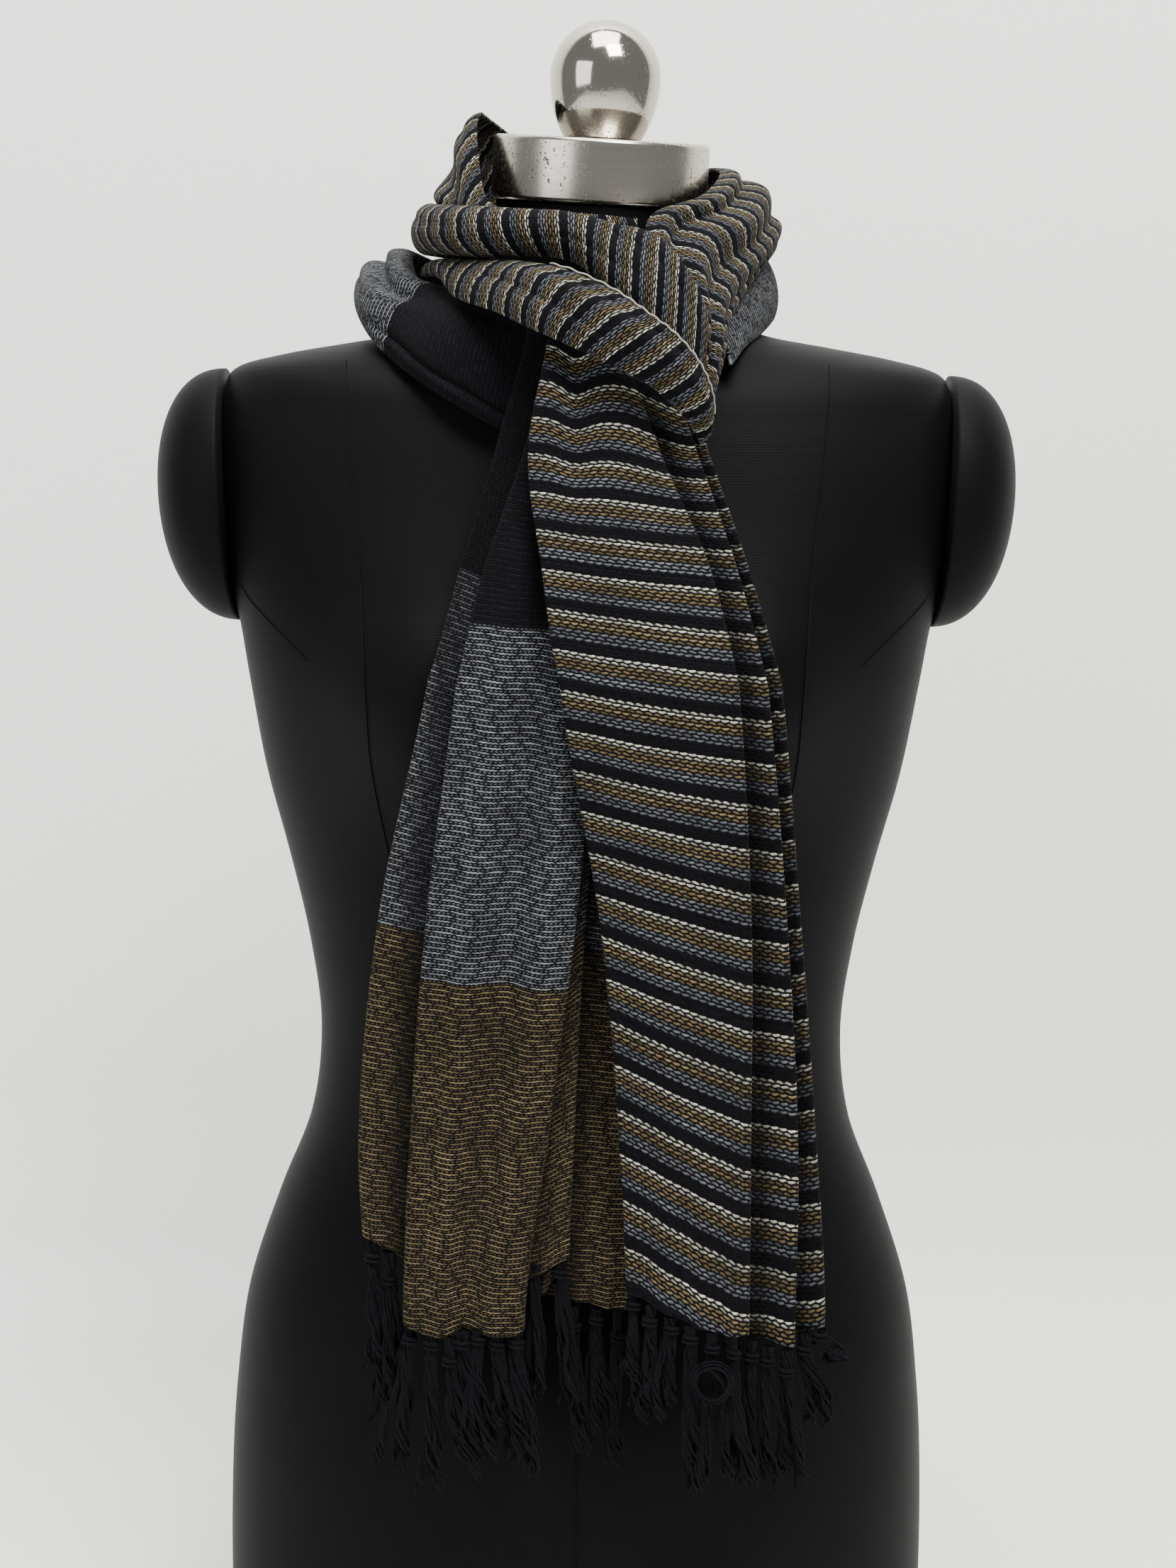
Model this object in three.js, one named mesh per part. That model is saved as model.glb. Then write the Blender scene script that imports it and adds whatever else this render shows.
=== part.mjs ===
// A striped wool stole looped round the neck of a limbless dress form.
// Millimetres, +Z up, the front of the form faces -Y, and the origin is the
// centre of the flat bottom face. Left and right are the viewer's.
//
// Every stretch of cloth is a thin wall built on a sheet: a grid of points
// worked out from a table that has a row for each section or each fold.

import * as THREE from 'three';

// ---------------------------------------------------------------- sizes

const CLOTH = 1.6;             // thickness of a wall of cloth
const BAND_CLOTH = 2.0;        // thickness where the cloth is rolled on itself
const CUT_GAP = 0.4;           // gap between two stretches of one turn
const NECK_X = 4;              // the neck leans a little to the right...
const NECK_Y = -8;             // ...and forward
const NECK_TOP = 709;          // height of the top of the covered neck
const LEAN_RIGHT = 0.045;      // fall of the neck's top face towards +X
const LEAN_FRONT = 0.07;       // fall of the neck's top face towards -Y
const CAP_RADIUS = 47.5;       // steel neck cap
const CAP_HEIGHT = 27.5;
const CAP_EDGE = 2.5;
const BALL_RADIUS = 24.2;      // steel ball finial
const BALL_FOOT_RADIUS = 17;
const BALL_HEIGHT = 50.2;
const SEAT_GAP = 0.3;          // gap between parts that stand on each other
const ARMHOLE_LOW = 523;       // lowest point of the armhole
const ARMHOLE_HIGH = 636;      // highest point of the armhole
const ARMHOLE_X = 156;         // distance of the armhole's lowest point from the middle
const ARMHOLE_FLARE = 0.055;   // how fast the armhole face leans outward with height
const SHOULDER_OUT = 33;       // how far a shoulder cap stands out of its armhole
const SHOULDER_DEPTH = 50;     // half the shoulder cap, front to back
const SHOULDER_ROUND = 0.9;    // 1 makes a shoulder cap half an ellipsoid, less is squarer
const TASSEL_DEPTH = 8;        // thickness of the fringe, front to back

// Sections of the torso: height, half width, and reach to front and back.
const TORSO = [
  { z: 0, half: 163, front: 106, back: 116 },
  { z: 64, half: 165.5, front: 109, back: 120 },
  { z: 124, half: 164.5, front: 110, back: 122 },
  { z: 167, half: 161.5, front: 108, back: 120 },
  { z: 210, half: 155.5, front: 102, back: 112 },
  { z: 253, half: 141.5, front: 94, back: 98 },
  { z: 294, half: 125.8, front: 87, back: 86 },
  { z: 336, half: 121, front: 85, back: 80 },
  { z: 377, half: 125.7, front: 88, back: 82 },
  { z: 417, half: 134.5, front: 95, back: 86 },
  { z: 457, half: 144.7, front: 102, back: 90 },
  { z: 497, half: 151.8, front: 106, back: 93 },
  { z: 523, half: 156, front: 106, back: 95 },
  { z: 540, half: 160, front: 103, back: 97 },
  { z: 560, half: 163.5, front: 99, back: 98 },
  { z: 580, half: 165.5, front: 93, back: 98 },
  { z: 600, half: 166, front: 86, back: 96 },
  { z: 615, half: 165, front: 80, back: 93 },
  { z: 628, half: 162.5, front: 74, back: 88 },
  { z: 637, half: 156, front: 66, back: 80 },
  { z: 643, half: 134, front: 61, back: 74 },
  { z: 648, half: 106, front: 57, back: 68 },
  { z: 653, half: 78, front: 55, back: 62 },
  { z: 661, half: 59, front: 55, back: 55 },
  { z: 674, half: 51, front: 55, back: 46 },
  { z: 692, half: 47, front: 54, back: 39 },
  { z: 709, half: 45.5, front: 53.5, back: 37.5 },
];
const BUST = { x: 73, z: 500, out: 22, across: 36, up: 45 };
const TORSO_SIDES = 40;
const TORSO_SQUARE = 2.25;     // 2 is an ellipse, more is squarer

// Bands of the stole. A row is a section across the band: its upper or inner
// edge (ax, ay, az), its lower or outer edge (bx, by, bz), how far its middle
// stands out, and roll, which is 1 where the section is rolled to a half round
// and 0 where it is a flat arch.
const NECK_WRAP = [
  { ax: 42, ay: -104, az: 638, bx: 51, by: -106, bz: 625, out: 3, roll: 0.4 },
  { ax: 38, ay: -102, az: 651, bx: 53, by: -102, bz: 634, out: 4, roll: 0.4 },
  { ax: 32, ay: -94, az: 669, bx: 56, by: -92, bz: 644, out: 6, roll: 0.4 },
  { ax: 24, ay: -79, az: 689, bx: 58, by: -76, bz: 656, out: 8, roll: 0.5 },
  { ax: 27, ay: -62, az: 702, bx: 64, by: -52, bz: 667, out: 10, roll: 0.6 },
  { ax: 48, ay: -38, az: 711, bx: 73, by: -24, bz: 679, out: 11, roll: 0.6 },
  { ax: 58, ay: 8, az: 724, bx: 83, by: 12, bz: 692, out: 10, roll: 0.7 },
  { ax: 46, ay: 46, az: 727, bx: 70, by: 54, bz: 688, out: 11, roll: 0.8 },
  { ax: 6, ay: 66, az: 720, bx: 8, by: 80, bz: 684, out: 10, roll: 0.9 },
  { ax: -36, ay: 58, az: 713, bx: -48, by: 68, bz: 686, out: 9, roll: 1 },
  { ax: -65, ay: 29, az: 708, bx: -72, by: 33, bz: 688, out: 8, roll: 1 },
  { ax: -69, ay: -6, az: 708, bx: -71, by: -8, bz: 687, out: 8, roll: 1 },
  { ax: -64, ay: -36, az: 706, bx: -62, by: -40, bz: 686, out: 10, roll: 1 },
  { ax: -46, ay: -62, az: 704, bx: -43, by: -68, bz: 684, out: 12, roll: 1 },
  { ax: -20, ay: -78, az: 701, bx: -18, by: -86, bz: 684, out: 12, roll: 1 },
  { ax: -4, ay: -82, az: 699, bx: -3, by: -92, bz: 680, out: 11, roll: 1 },
  { ax: 10, ay: -86, az: 696, bx: 8, by: -102, bz: 668, out: 10, roll: 0.9 },
  { ax: 26, ay: -94, az: 692, bx: 24, by: -114, bz: 652, out: 9, roll: 0.8 },
  { ax: 39, ay: -103, az: 679, bx: 37, by: -115, bz: 638, out: 6, roll: 0.8 },
  { ax: 48, ay: -107, az: 661, bx: 46, by: -114, bz: 628, out: 4, roll: 0.8 },
];
const NECK_WRAP_CUTS = { folds: 0.36, back: 0.56 };

const COLLAR = [
  { ax: 20, ay: -61, az: 700, bx: 20, by: -65, bz: 690, out: 1, roll: 0 },
  { ax: -5, ay: -63, az: 702, bx: -5, by: -66, bz: 692, out: 1, roll: 0 },
  { ax: -24, ay: -59, az: 702, bx: -24, by: -62, bz: 691, out: 2, roll: 0 },
  { ax: -37, ay: -52, az: 704, bx: -41, by: -55, bz: 691, out: 3, roll: 0.2 },
  { ax: -45, ay: -41, az: 711, bx: -52, by: -43, bz: 694, out: 4, roll: 0.4 },
  { ax: -49, ay: -20, az: 732, bx: -58, by: -22, bz: 701, out: 6.5, roll: 0.7 },
  { ax: -49, ay: 4, az: 751, bx: -59, by: 2, bz: 704, out: 7.5, roll: 0.8 },
  { ax: -43, ay: 28, az: 747, bx: -54, by: 31, bz: 704, out: 7, roll: 0.7 },
  { ax: -26, ay: 47, az: 736, bx: -32, by: 50, bz: 704, out: 5, roll: 0.5 },
  { ax: 4, ay: 56, az: 730, bx: 5, by: 58, bz: 704, out: 4, roll: 0.4 },
  { ax: 36, ay: 42, az: 726, bx: 39, by: 44, bz: 706, out: 3, roll: 0.3 },
  { ax: 51, ay: 14, az: 722, bx: 52, by: 16, bz: 704, out: 2, roll: 0.2 },
];

const LOOP = [
  { ax: -71, ay: -14, az: 682, bx: -73, by: -18, bz: 677, out: 1, roll: 0.5 },
  { ax: -63, ay: -41, az: 683, bx: -64, by: -46, bz: 676, out: 3, roll: 0.6 },
  { ax: -46, ay: -60, az: 681, bx: -55, by: -74, bz: 667, out: 6, roll: 0.7 },
  { ax: -27, ay: -80, az: 680, bx: -38, by: -99, bz: 661, out: 8, roll: 0.7 },
  { ax: -10, ay: -105, az: 677, bx: -22, by: -118, bz: 654, out: 9, roll: 0.7 },
  { ax: 9, ay: -122, az: 669, bx: -8, by: -128, bz: 648, out: 8, roll: 0.6 },
  { ax: 23, ay: -131, az: 660, bx: 8, by: -133, bz: 641, out: 7, roll: 0.6 },
  { ax: 35, ay: -131, az: 651, bx: 24, by: -132, bz: 633, out: 6, roll: 0.6 },
  { ax: 44, ay: -128, az: 640, bx: 35, by: -129, bz: 624, out: 5, roll: 0.6 },
  { ax: 49, ay: -122, az: 628, bx: 42, by: -123, bz: 616, out: 4, roll: 0.6 },
  { ax: 50, ay: -115, az: 617, bx: 46, by: -116, bz: 609, out: 2, roll: 0.6 },
];

const SHOULDER_BAND = [
  { ax: -6, ay: -87, az: 648, bx: -22, by: -91, bz: 606, out: 2, roll: 0 },
  { ax: -18, ay: -85, az: 656, bx: -35, by: -91, bz: 612, out: 3, roll: 0 },
  { ax: -34, ay: -77, az: 664, bx: -50, by: -87, bz: 620, out: 5, roll: 0 },
  { ax: -48, ay: -64, az: 669, bx: -66, by: -77, bz: 629, out: 8, roll: 0.1 },
  { ax: -57, ay: -42, az: 671, bx: -82, by: -61, bz: 640, out: 10, roll: 0.2 },
  { ax: -73, ay: -30, az: 674, bx: -95, by: -38, bz: 652, out: 12, roll: 0.8 },
  { ax: -78, ay: -8, az: 682, bx: -101, by: -6, bz: 662, out: 12, roll: 1 },
  { ax: -78, ay: 18, az: 686, bx: -98, by: 24, bz: 668, out: 12, roll: 1 },
  { ax: -62, ay: 50, az: 682, bx: -78, by: 62, bz: 656, out: 10, roll: 0.8 },
  { ax: -30, ay: 74, az: 680, bx: -38, by: 88, bz: 648, out: 9, roll: 0.7 },
  { ax: 6, ay: 80, az: 682, bx: 6, by: 98, bz: 648, out: 9, roll: 0.7 },
  { ax: 40, ay: 66, az: 684, bx: 50, by: 80, bz: 652, out: 8, roll: 0.6 },
  { ax: 62, ay: 42, az: 688, bx: 76, by: 54, bz: 658, out: 6, roll: 0.5 },
  { ax: 74, ay: 13, az: 692, bx: 84, by: 20, bz: 662, out: 5, roll: 0.4 },
  { ax: 66, ay: -22, az: 680, bx: 77, by: -20, bz: 655, out: 4, roll: 0.3 },
  { ax: 58, ay: -48, az: 668, bx: 67, by: -52, bz: 648, out: 3, roll: 0.2 },
  { ax: 51, ay: -68, az: 656, bx: 60, by: -74, bz: 640, out: 2, roll: 0 },
];
const SHOULDER_BAND_CUTS = { left: 0.5, back: 0.76 };

// Largest folds along a band: at is the place across it (0 is the upper edge),
// out is the height of the ridge (a trough is below 0), width is half its
// width as a share of the band, and it lasts from start to end along the band.
const NECK_WRAP_FOLDS = [
  { at: 0.16, out: 3, width: 0.06, start: 0.08, end: 0.34 },
  { at: 0.30, out: -3, width: 0.06, start: 0.06, end: 0.5 },
  { at: 0.46, out: 3, width: 0.07, start: 0.02, end: 0.36 },
  { at: 0.60, out: -3, width: 0.06, start: 0.0, end: 0.5 },
  { at: 0.76, out: 2.5, width: 0.07, start: 0.02, end: 0.36 },
];
const COLLAR_FOLDS = [
  { at: 0.5, out: -3, width: 0.12, start: 0.38, end: 0.7 },
  { at: 0.78, out: 5, width: 0.12, start: 0.4, end: 0.66 },
];
const LOOP_FOLDS = [
  { at: 0.4, out: 1.5, width: 0.1, start: 0.3, end: 0.9 },
];
const SHOULDER_BAND_FOLDS = [
  { at: 0.42, out: -6, width: 0.1, start: 0.24, end: 0.5 },
  { at: 0.5, out: -3, width: 0.12, start: 0.5, end: 0.8 },
];

// Hanging ends. A row is a fold line down the cloth, from the left of the
// cloth to its right: where it is in X at seven heights, the height of the hem
// there, and how far in front of the hanging plane the cloth is before the
// fold and after it. Where the two are the same the cloth only bends there.
const TAIL_HEIGHTS = { knot: 656, chest: 605, bust: 560, rib: 513, waist: 416, hip: 321, hem: 245 };
const TAIL_LEFT = [
  { knot: -18, chest: -30, bust: -41, rib: -52, waist: -71, hip: -80,
    hem: -78, drop: 272, before: -4, after: -4 },
  { knot: -24, chest: -37, bust: -50, rib: -63, waist: -83, hip: -92,
    hem: -89, drop: 277, before: -4, after: -1 },
  { knot: -11, chest: -21, bust: -35, rib: -45, waist: -57, hip: -63,
    hem: -66, drop: 262, before: 3.5, after: 6.6 },
  { knot: -14, chest: -25, bust: -40, rib: -51, waist: -63, hip: -70,
    hem: -73, drop: 241, before: 6.6, after: 10 },
  { knot: -8, chest: -16, bust: -26, rib: -35, waist: -45, hip: -53,
    hem: -59, drop: 234, before: 12.5, after: 12.5 },
  { knot: -2, chest: -8, bust: -12, rib: -19, waist: -27, hip: -37,
    hem: -45, drop: 239, before: 6.5, after: 6.5 },
  { knot: 1, chest: -2, bust: -4, rib: -8, waist: -15, hip: -25,
    hem: -34, drop: 235, before: 11.5, after: 11.5 },
  { knot: 4, chest: 4, bust: 4, rib: 4, waist: -3, hip: -14,
    hem: -23, drop: 238, before: 9, after: 6 },
  { knot: 1, chest: 0, bust: -1, rib: -3, waist: -11, hip: -23,
    hem: -32, drop: 252, before: 6, after: 3 },
  { knot: 8, chest: 8, bust: 8, rib: 8, waist: 1, hip: -3,
    hem: -5, drop: 268, before: 3, after: 0 },
  { knot: 5, chest: 4, bust: 3, rib: 1, waist: -7, hip: -12,
    hem: -15, drop: 250, before: 0, after: -3 },
  { knot: 12, chest: 12, bust: 12, rib: 14, waist: 17, hip: 24,
    hem: 25, drop: 242, before: -3, after: -3 },
];
const TAIL_RIGHT = [
  { knot: -8, chest: -14, bust: -8, rib: 1, waist: 18, hip: 27,
    hem: 31, drop: 257, before: 5.5, after: 5.5 },
  { knot: -15, chest: -23, bust: -17, rib: -9, waist: 8, hip: 17,
    hem: 21, drop: 259, before: 5.5, after: 9 },
  { knot: -8, chest: -8, bust: 3, rib: 12, waist: 27, hip: 34,
    hem: 37, drop: 250, before: 12, after: 12 },
  { knot: 3, chest: 10, bust: 26, rib: 37, waist: 48, hip: 53,
    hem: 55, drop: 243, before: 13, after: 13 },
  { knot: 12, chest: 29, bust: 49, rib: 61, waist: 68, hip: 70,
    hem: 71, drop: 239, before: 10, after: 7 },
  { knot: 7, chest: 23, bust: 42, rib: 53, waist: 60, hip: 62,
    hem: 63, drop: 238, before: 5, after: 1 },
  { knot: 27, chest: 44, bust: 60, rib: 73, waist: 83, hip: 90,
    hem: 91, drop: 231, before: 3, after: 0 },
  { knot: 23, chest: 39, bust: 54, rib: 66, waist: 76, hip: 83,
    hem: 84, drop: 234, before: -1, after: -5 },
  { knot: 33, chest: 49, bust: 65, rib: 79, waist: 89, hip: 98,
    hem: 104, drop: 238, before: -3, after: -6 },
  { knot: 25, chest: 38, bust: 54, rib: 67, waist: 76, hip: 84,
    hem: 90, drop: 240, before: -7, after: -7 },
];
// The planes that the two ends hang in, and how closely their pleats stack.
const HANG_LEFT = [
  { z: 656, y: -96, stack: 0.6 },
  { z: 605, y: -102, stack: 0.85 },
  { z: 560, y: -118, stack: 0.9 },
  { z: 513, y: -131, stack: 1 },
  { z: 416, y: -134, stack: 1 },
  { z: 321, y: -132, stack: 1 },
  { z: 230, y: -129, stack: 1 },
];
const HANG_RIGHT = [
  { z: 656, y: -103, stack: 0.7 },
  { z: 635, y: -110, stack: 0.8 },
  { z: 605, y: -117, stack: 0.85 },
  { z: 560, y: -133, stack: 0.9 },
  { z: 513, y: -144, stack: 1 },
  { z: 416, y: -143, stack: 1 },
  { z: 321, y: -139, stack: 1 },
  { z: 230, y: -136, stack: 1 },
];
const FOLD_ROUND = 1.4;        // how far a fold's corners are cut back

// Reach of the fringe: its top and bottom along the hem.
const FRINGE_LEFT = [
  { x: -87, top: 267, bottom: 212 },
  { x: -78, top: 263, bottom: 180 },
  { x: -75, top: 232, bottom: 172 },
  { x: -46, top: 232, bottom: 167 },
  { x: -10, top: 234, bottom: 172 },
  { x: 18, top: 239, bottom: 178 },
];
const FRINGE_RIGHT = [
  { x: 23, top: 254, bottom: 205 },
  { x: 32, top: 248, bottom: 176 },
  { x: 56, top: 238, bottom: 170 },
  { x: 74, top: 229, bottom: 168 },
  { x: 92, top: 229, bottom: 166 },
  { x: 106, top: 234, bottom: 180 },
];

// ---------------------------------------------------------------- finishes

const finish = (color, roughness, metalness = 0) =>
  new THREE.MeshStandardMaterial({ color, roughness, metalness });
const JERSEY = finish(0x232426, 0.75);
const STEEL = finish(0xb9b4aa, 0.28, 1);
const STRIPED = finish(0x6f6858, 0.95);
const GREY_BLOCK = finish(0x6c7074, 0.95);
const OCHRE_BLOCK = finish(0x6b5836, 0.95);
const TASSEL = finish(0x17171a, 0.95);

// ---------------------------------------------------------------- tools

const mix = (a, b, t) => a + (b - a) * t;
const clamp = (v, low, high) => Math.min(high, Math.max(low, v));
const smooth = (t) => clamp(t, 0, 1) ** 2 * (3 - 2 * clamp(t, 0, 1));

// Catmull-Rom through four values, for one column of a table.
function spline(a, b, c, d, t) {
  return 0.5 * (2 * b + (c - a) * t + (2 * a - 5 * b + 4 * c - d) * t * t + (3 * b - a - 3 * c + d) * t ** 3);
}

// The row of a table at place t, from 0 at its first row to 1 at its last.
function rowAt(table, t) {
  const place = clamp(t, 0, 1) * (table.length - 1);
  const i = Math.min(Math.floor(place), table.length - 2);
  const pick = (k) => table[clamp(k, 0, table.length - 1)];
  const row = {};
  for (const key of Object.keys(table[0])) {
    row[key] = spline(pick(i - 1)[key], pick(i)[key], pick(i + 1)[key], pick(i + 2)[key], place - i);
  }
  return row;
}

// A column of a table whose rows are at increasing or decreasing values of by.
function columnAt(table, by, key, value) {
  const rising = table[1][by] > table[0][by];
  let i = table.findIndex((row) => (rising ? row[by] >= value : row[by] <= value));
  if (i < 0) i = table.length - 1;
  i = clamp(i, 1, table.length - 1);
  const [from, to] = [table[i - 1], table[i]];
  return mix(from[key], to[key], clamp((value - from[by]) / (to[by] - from[by]), 0, 1));
}

function closedMesh(points, faces) {
  const geometry = new THREE.BufferGeometry();
  const numbers = points.flatMap((p) => [p.x, p.y, p.z]);
  geometry.setAttribute('position', new THREE.Float32BufferAttribute(numbers, 3));
  geometry.setIndex(faces.flat());
  geometry.computeVertexNormals();
  return geometry;
}

// A wall of the given thickness round a sheet of points, with its four rims.
// The first face looks along d(row) x d(column).
function wall(sheet, thickness) {
  const rows = sheet.length;
  const columns = sheet[0].length;
  const normalAt = (i, j) => {
    const along = sheet[Math.min(i + 1, rows - 1)][j].clone().sub(sheet[Math.max(i - 1, 0)][j]);
    const across = sheet[i][Math.min(j + 1, columns - 1)].clone().sub(sheet[i][Math.max(j - 1, 0)]);
    return along.cross(across).normalize();
  };
  const side = (sign) => sheet.flatMap((row, i) => row.map(
    (p, j) => p.clone().addScaledVector(normalAt(i, j), (sign * thickness) / 2),
  ));
  const points = [...side(1), ...side(-1)];
  const front = (i, j) => i * columns + j;
  const back = (i, j) => rows * columns + i * columns + j;
  const faces = [];
  for (let i = 0; i < rows - 1; i += 1) {
    for (let j = 0; j < columns - 1; j += 1) {
      faces.push(
        [front(i, j), front(i + 1, j), front(i + 1, j + 1)],
        [front(i, j), front(i + 1, j + 1), front(i, j + 1)],
        [back(i, j), back(i + 1, j + 1), back(i + 1, j)],
        [back(i, j), back(i, j + 1), back(i + 1, j + 1)],
      );
    }
  }
  const rim = (a, b, c, d) => faces.push([a, b, c], [a, c, d]);
  for (let i = 0; i < rows - 1; i += 1) {
    rim(front(i, 0), back(i, 0), back(i + 1, 0), front(i + 1, 0));
    rim(front(i + 1, columns - 1), back(i + 1, columns - 1), back(i, columns - 1), front(i, columns - 1));
  }
  for (let j = 0; j < columns - 1; j += 1) {
    rim(front(0, j + 1), back(0, j + 1), back(0, j), front(0, j));
    rim(front(rows - 1, j), back(rows - 1, j), back(rows - 1, j + 1), front(rows - 1, j + 1));
  }
  return closedMesh(points, faces);
}

// A solid through closed rings of points, closed by a flat fan at each end.
function ringSolid(rings) {
  const sides = rings[0].length;
  const points = rings.flat();
  const middle = (ring) => ring.reduce((sum, p) => sum.add(p), new THREE.Vector3()).divideScalar(sides);
  const bottom = points.push(middle(rings[0])) - 1;
  const top = points.push(middle(rings[rings.length - 1])) - 1;
  const last = (rings.length - 1) * sides;
  const faces = [];
  for (let j = 0; j < sides; j += 1) {
    const next = (j + 1) % sides;
    for (let i = 0; i < rings.length - 1; i += 1) {
      const [a, b] = [i * sides + j, i * sides + next];
      faces.push([a, b, b + sides], [a, b + sides, a + sides]);
    }
    faces.push([bottom, next, j], [top, last + j, last + next]);
  }
  return closedMesh(points, faces);
}

// ---------------------------------------------------------------- dress form

const armholeX = (z) => ARMHOLE_X + ARMHOLE_FLARE * (z - ARMHOLE_LOW);

// A ring of the torso: a rounded rectangle, flat where the armhole cuts it,
// with the bust as two soft swells, and the neck's top ring set on a slant.
function torsoRing({ z, half, front, back }) {
  const neck = smooth((z - 640) / 50);
  const slant = smooth((z - 690) / (NECK_TOP - 690));
  const power = 2 / mix(TORSO_SQUARE, 2, neck);
  return Array.from({ length: TORSO_SIDES }, (_, j) => {
    const angle = (2 * Math.PI * j) / TORSO_SIDES - Math.PI / 2;
    const [c, s] = [Math.cos(angle), Math.sin(angle)];
    let x = half * Math.sign(c) * Math.abs(c) ** power;
    let y = (s < 0 ? front : back) * Math.sign(s) * Math.abs(s) ** power;
    if (z > ARMHOLE_LOW && z < ARMHOLE_HIGH + 2) x = clamp(x, -armholeX(z), armholeX(z));
    if (s < 0) {
      const swell = Math.exp(-(((Math.abs(x) - BUST.x) / BUST.across) ** 2) - ((z - BUST.z) / BUST.up) ** 2);
      y -= BUST.out * swell * Math.min(1, -2 * s);
    }
    x += NECK_X * neck;
    const fall = slant * (LEAN_RIGHT * (x - NECK_X) - LEAN_FRONT * (y - NECK_Y));
    return new THREE.Vector3(x, y, z - fall);
  });
}

function torso() {
  return ringSolid(TORSO.map(torsoRing));
}

// A shoulder cap: a dome on the leaning armhole face, squarer than a sphere.
function shoulderCap(side) {
  const middle = (ARMHOLE_LOW + ARMHOLE_HIGH) / 2;
  const height = (ARMHOLE_HIGH - ARMHOLE_LOW) / 2;
  const steps = 7;
  const sides = 24;
  const rings = Array.from({ length: steps }, (_, i) => {
    const rise = Math.sin((i / steps) * (Math.PI / 2)) ** SHOULDER_ROUND;
    const spread = Math.cos((i / steps) * (Math.PI / 2)) ** SHOULDER_ROUND;
    return Array.from({ length: sides }, (_, j) => {
      const angle = (2 * Math.PI * j * side) / sides;
      const y = SHOULDER_DEPTH * spread * Math.cos(angle);
      const z = middle + height * spread * Math.sin(angle);
      return new THREE.Vector3(side * (armholeX(z) + SEAT_GAP + SHOULDER_OUT * rise), y, z);
    });
  });
  return ringSolid(rings);
}

// Turned steel parts stand on the neck's slanted top face.
function onNeck(mesh, lift) {
  mesh.position.set(NECK_X, NECK_Y, NECK_TOP);
  mesh.rotation.set(Math.atan(LEAN_FRONT), Math.atan(LEAN_RIGHT), 0);
  mesh.updateMatrix();
  mesh.position.add(new THREE.Vector3(0, 0, lift).applyEuler(mesh.rotation));
  return mesh;
}

function turned(profile, segments) {
  const geometry = new THREE.LatheGeometry(profile.map(([r, z]) => new THREE.Vector2(r, z)), segments);
  return geometry.rotateX(Math.PI / 2);
}

function neckCap() {
  const [r, h, e] = [CAP_RADIUS, CAP_HEIGHT, CAP_EDGE];
  const corner = 0.3 * e;
  return turned([
    [0, 0], [r - e, 0], [r - corner, corner], [r, e],
    [r, h - e], [r - corner, h - corner], [r - e, h], [0, h],
  ], 36);
}

// The ball: half a sphere above its widest ring, and a longer half below it
// that its foot cuts off.
function neckBall() {
  const centre = BALL_HEIGHT - BALL_RADIUS;
  const reach = centre / Math.sqrt(1 - (BALL_FOOT_RADIUS / BALL_RADIUS) ** 2);
  const foot = Math.asin(centre / reach);
  const steps = 4;
  const lower = Array.from({ length: steps }, (_, i) => {
    const angle = foot * (1 - i / steps);
    return [BALL_RADIUS * Math.cos(angle), centre - reach * Math.sin(angle)];
  });
  const upper = Array.from({ length: steps + 1 }, (_, i) => {
    const angle = (i / steps) * (Math.PI / 2);
    return [i === steps ? 0 : BALL_RADIUS * Math.cos(angle), centre + BALL_RADIUS * Math.sin(angle)];
  });
  return turned([[0, 0], ...lower, ...upper], 24);
}

// ---------------------------------------------------------------- cloth

// The height of a band's folds at place u across and t along.
function foldHeight(folds, u, t) {
  return folds.reduce((sum, fold) => {
    const along = smooth((t - fold.start) / 0.06) * smooth((fold.end - t) / 0.06);
    return sum + fold.out * along * Math.exp(-(((u - fold.at) / fold.width) ** 2));
  }, 0);
}

// One section across a band. The arch is a sine, or half an ellipse where the
// band is rolled, and it stands out from the neck and upward.
function bandSection(table, folds, t, columns) {
  const row = rowAt(table, t);
  const step = 0.01;
  const [before, after] = [rowAt(table, t - step), rowAt(table, t + step)];
  const a = new THREE.Vector3(row.ax, row.ay, row.az);
  const b = new THREE.Vector3(row.bx, row.by, row.bz);
  const chord = b.clone().sub(a);
  const along = new THREE.Vector3(
    after.ax + after.bx - before.ax - before.bx,
    after.ay + after.by - before.ay - before.by,
    after.az + after.bz - before.az - before.bz,
  );
  const out = along.cross(chord).normalize();
  const away = new THREE.Vector3((a.x + b.x) / 2 - NECK_X, (a.y + b.y) / 2 - NECK_Y, 0).normalize();
  if (out.dot(away) < 0) out.negate();
  return Array.from({ length: columns }, (_, j) => {
    const u = j / (columns - 1);
    const place = mix(u, (1 - Math.cos(Math.PI * u)) / 2, clamp(row.roll, 0, 1));
    const height = row.out * Math.sin(Math.PI * u) + foldHeight(folds, u, t);
    return a.clone().addScaledVector(chord, place).addScaledVector(out, height);
  });
}

// A stretch of a band between two places along its table.
function band(table, folds, from, to, rows, columns) {
  const place = (i) => mix(from, to, i / (rows - 1));
  const sheet = Array.from({ length: rows }, (_, i) => bandSection(table, folds, place(i), columns));
  return wall(sheet, BAND_CLOTH);
}

// The place just past a cut, so that two stretches stay apart.
function pastCut(table, t) {
  const edge = table.map((row) => new THREE.Vector3(row.ax, row.ay, row.az));
  const length = edge.slice(1).reduce((sum, point, i) => sum + point.distanceTo(edge[i]), 0);
  return t + (2 * CUT_GAP) / length;
}

const HEIGHT_NAMES = Object.keys(TAIL_HEIGHTS);

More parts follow.
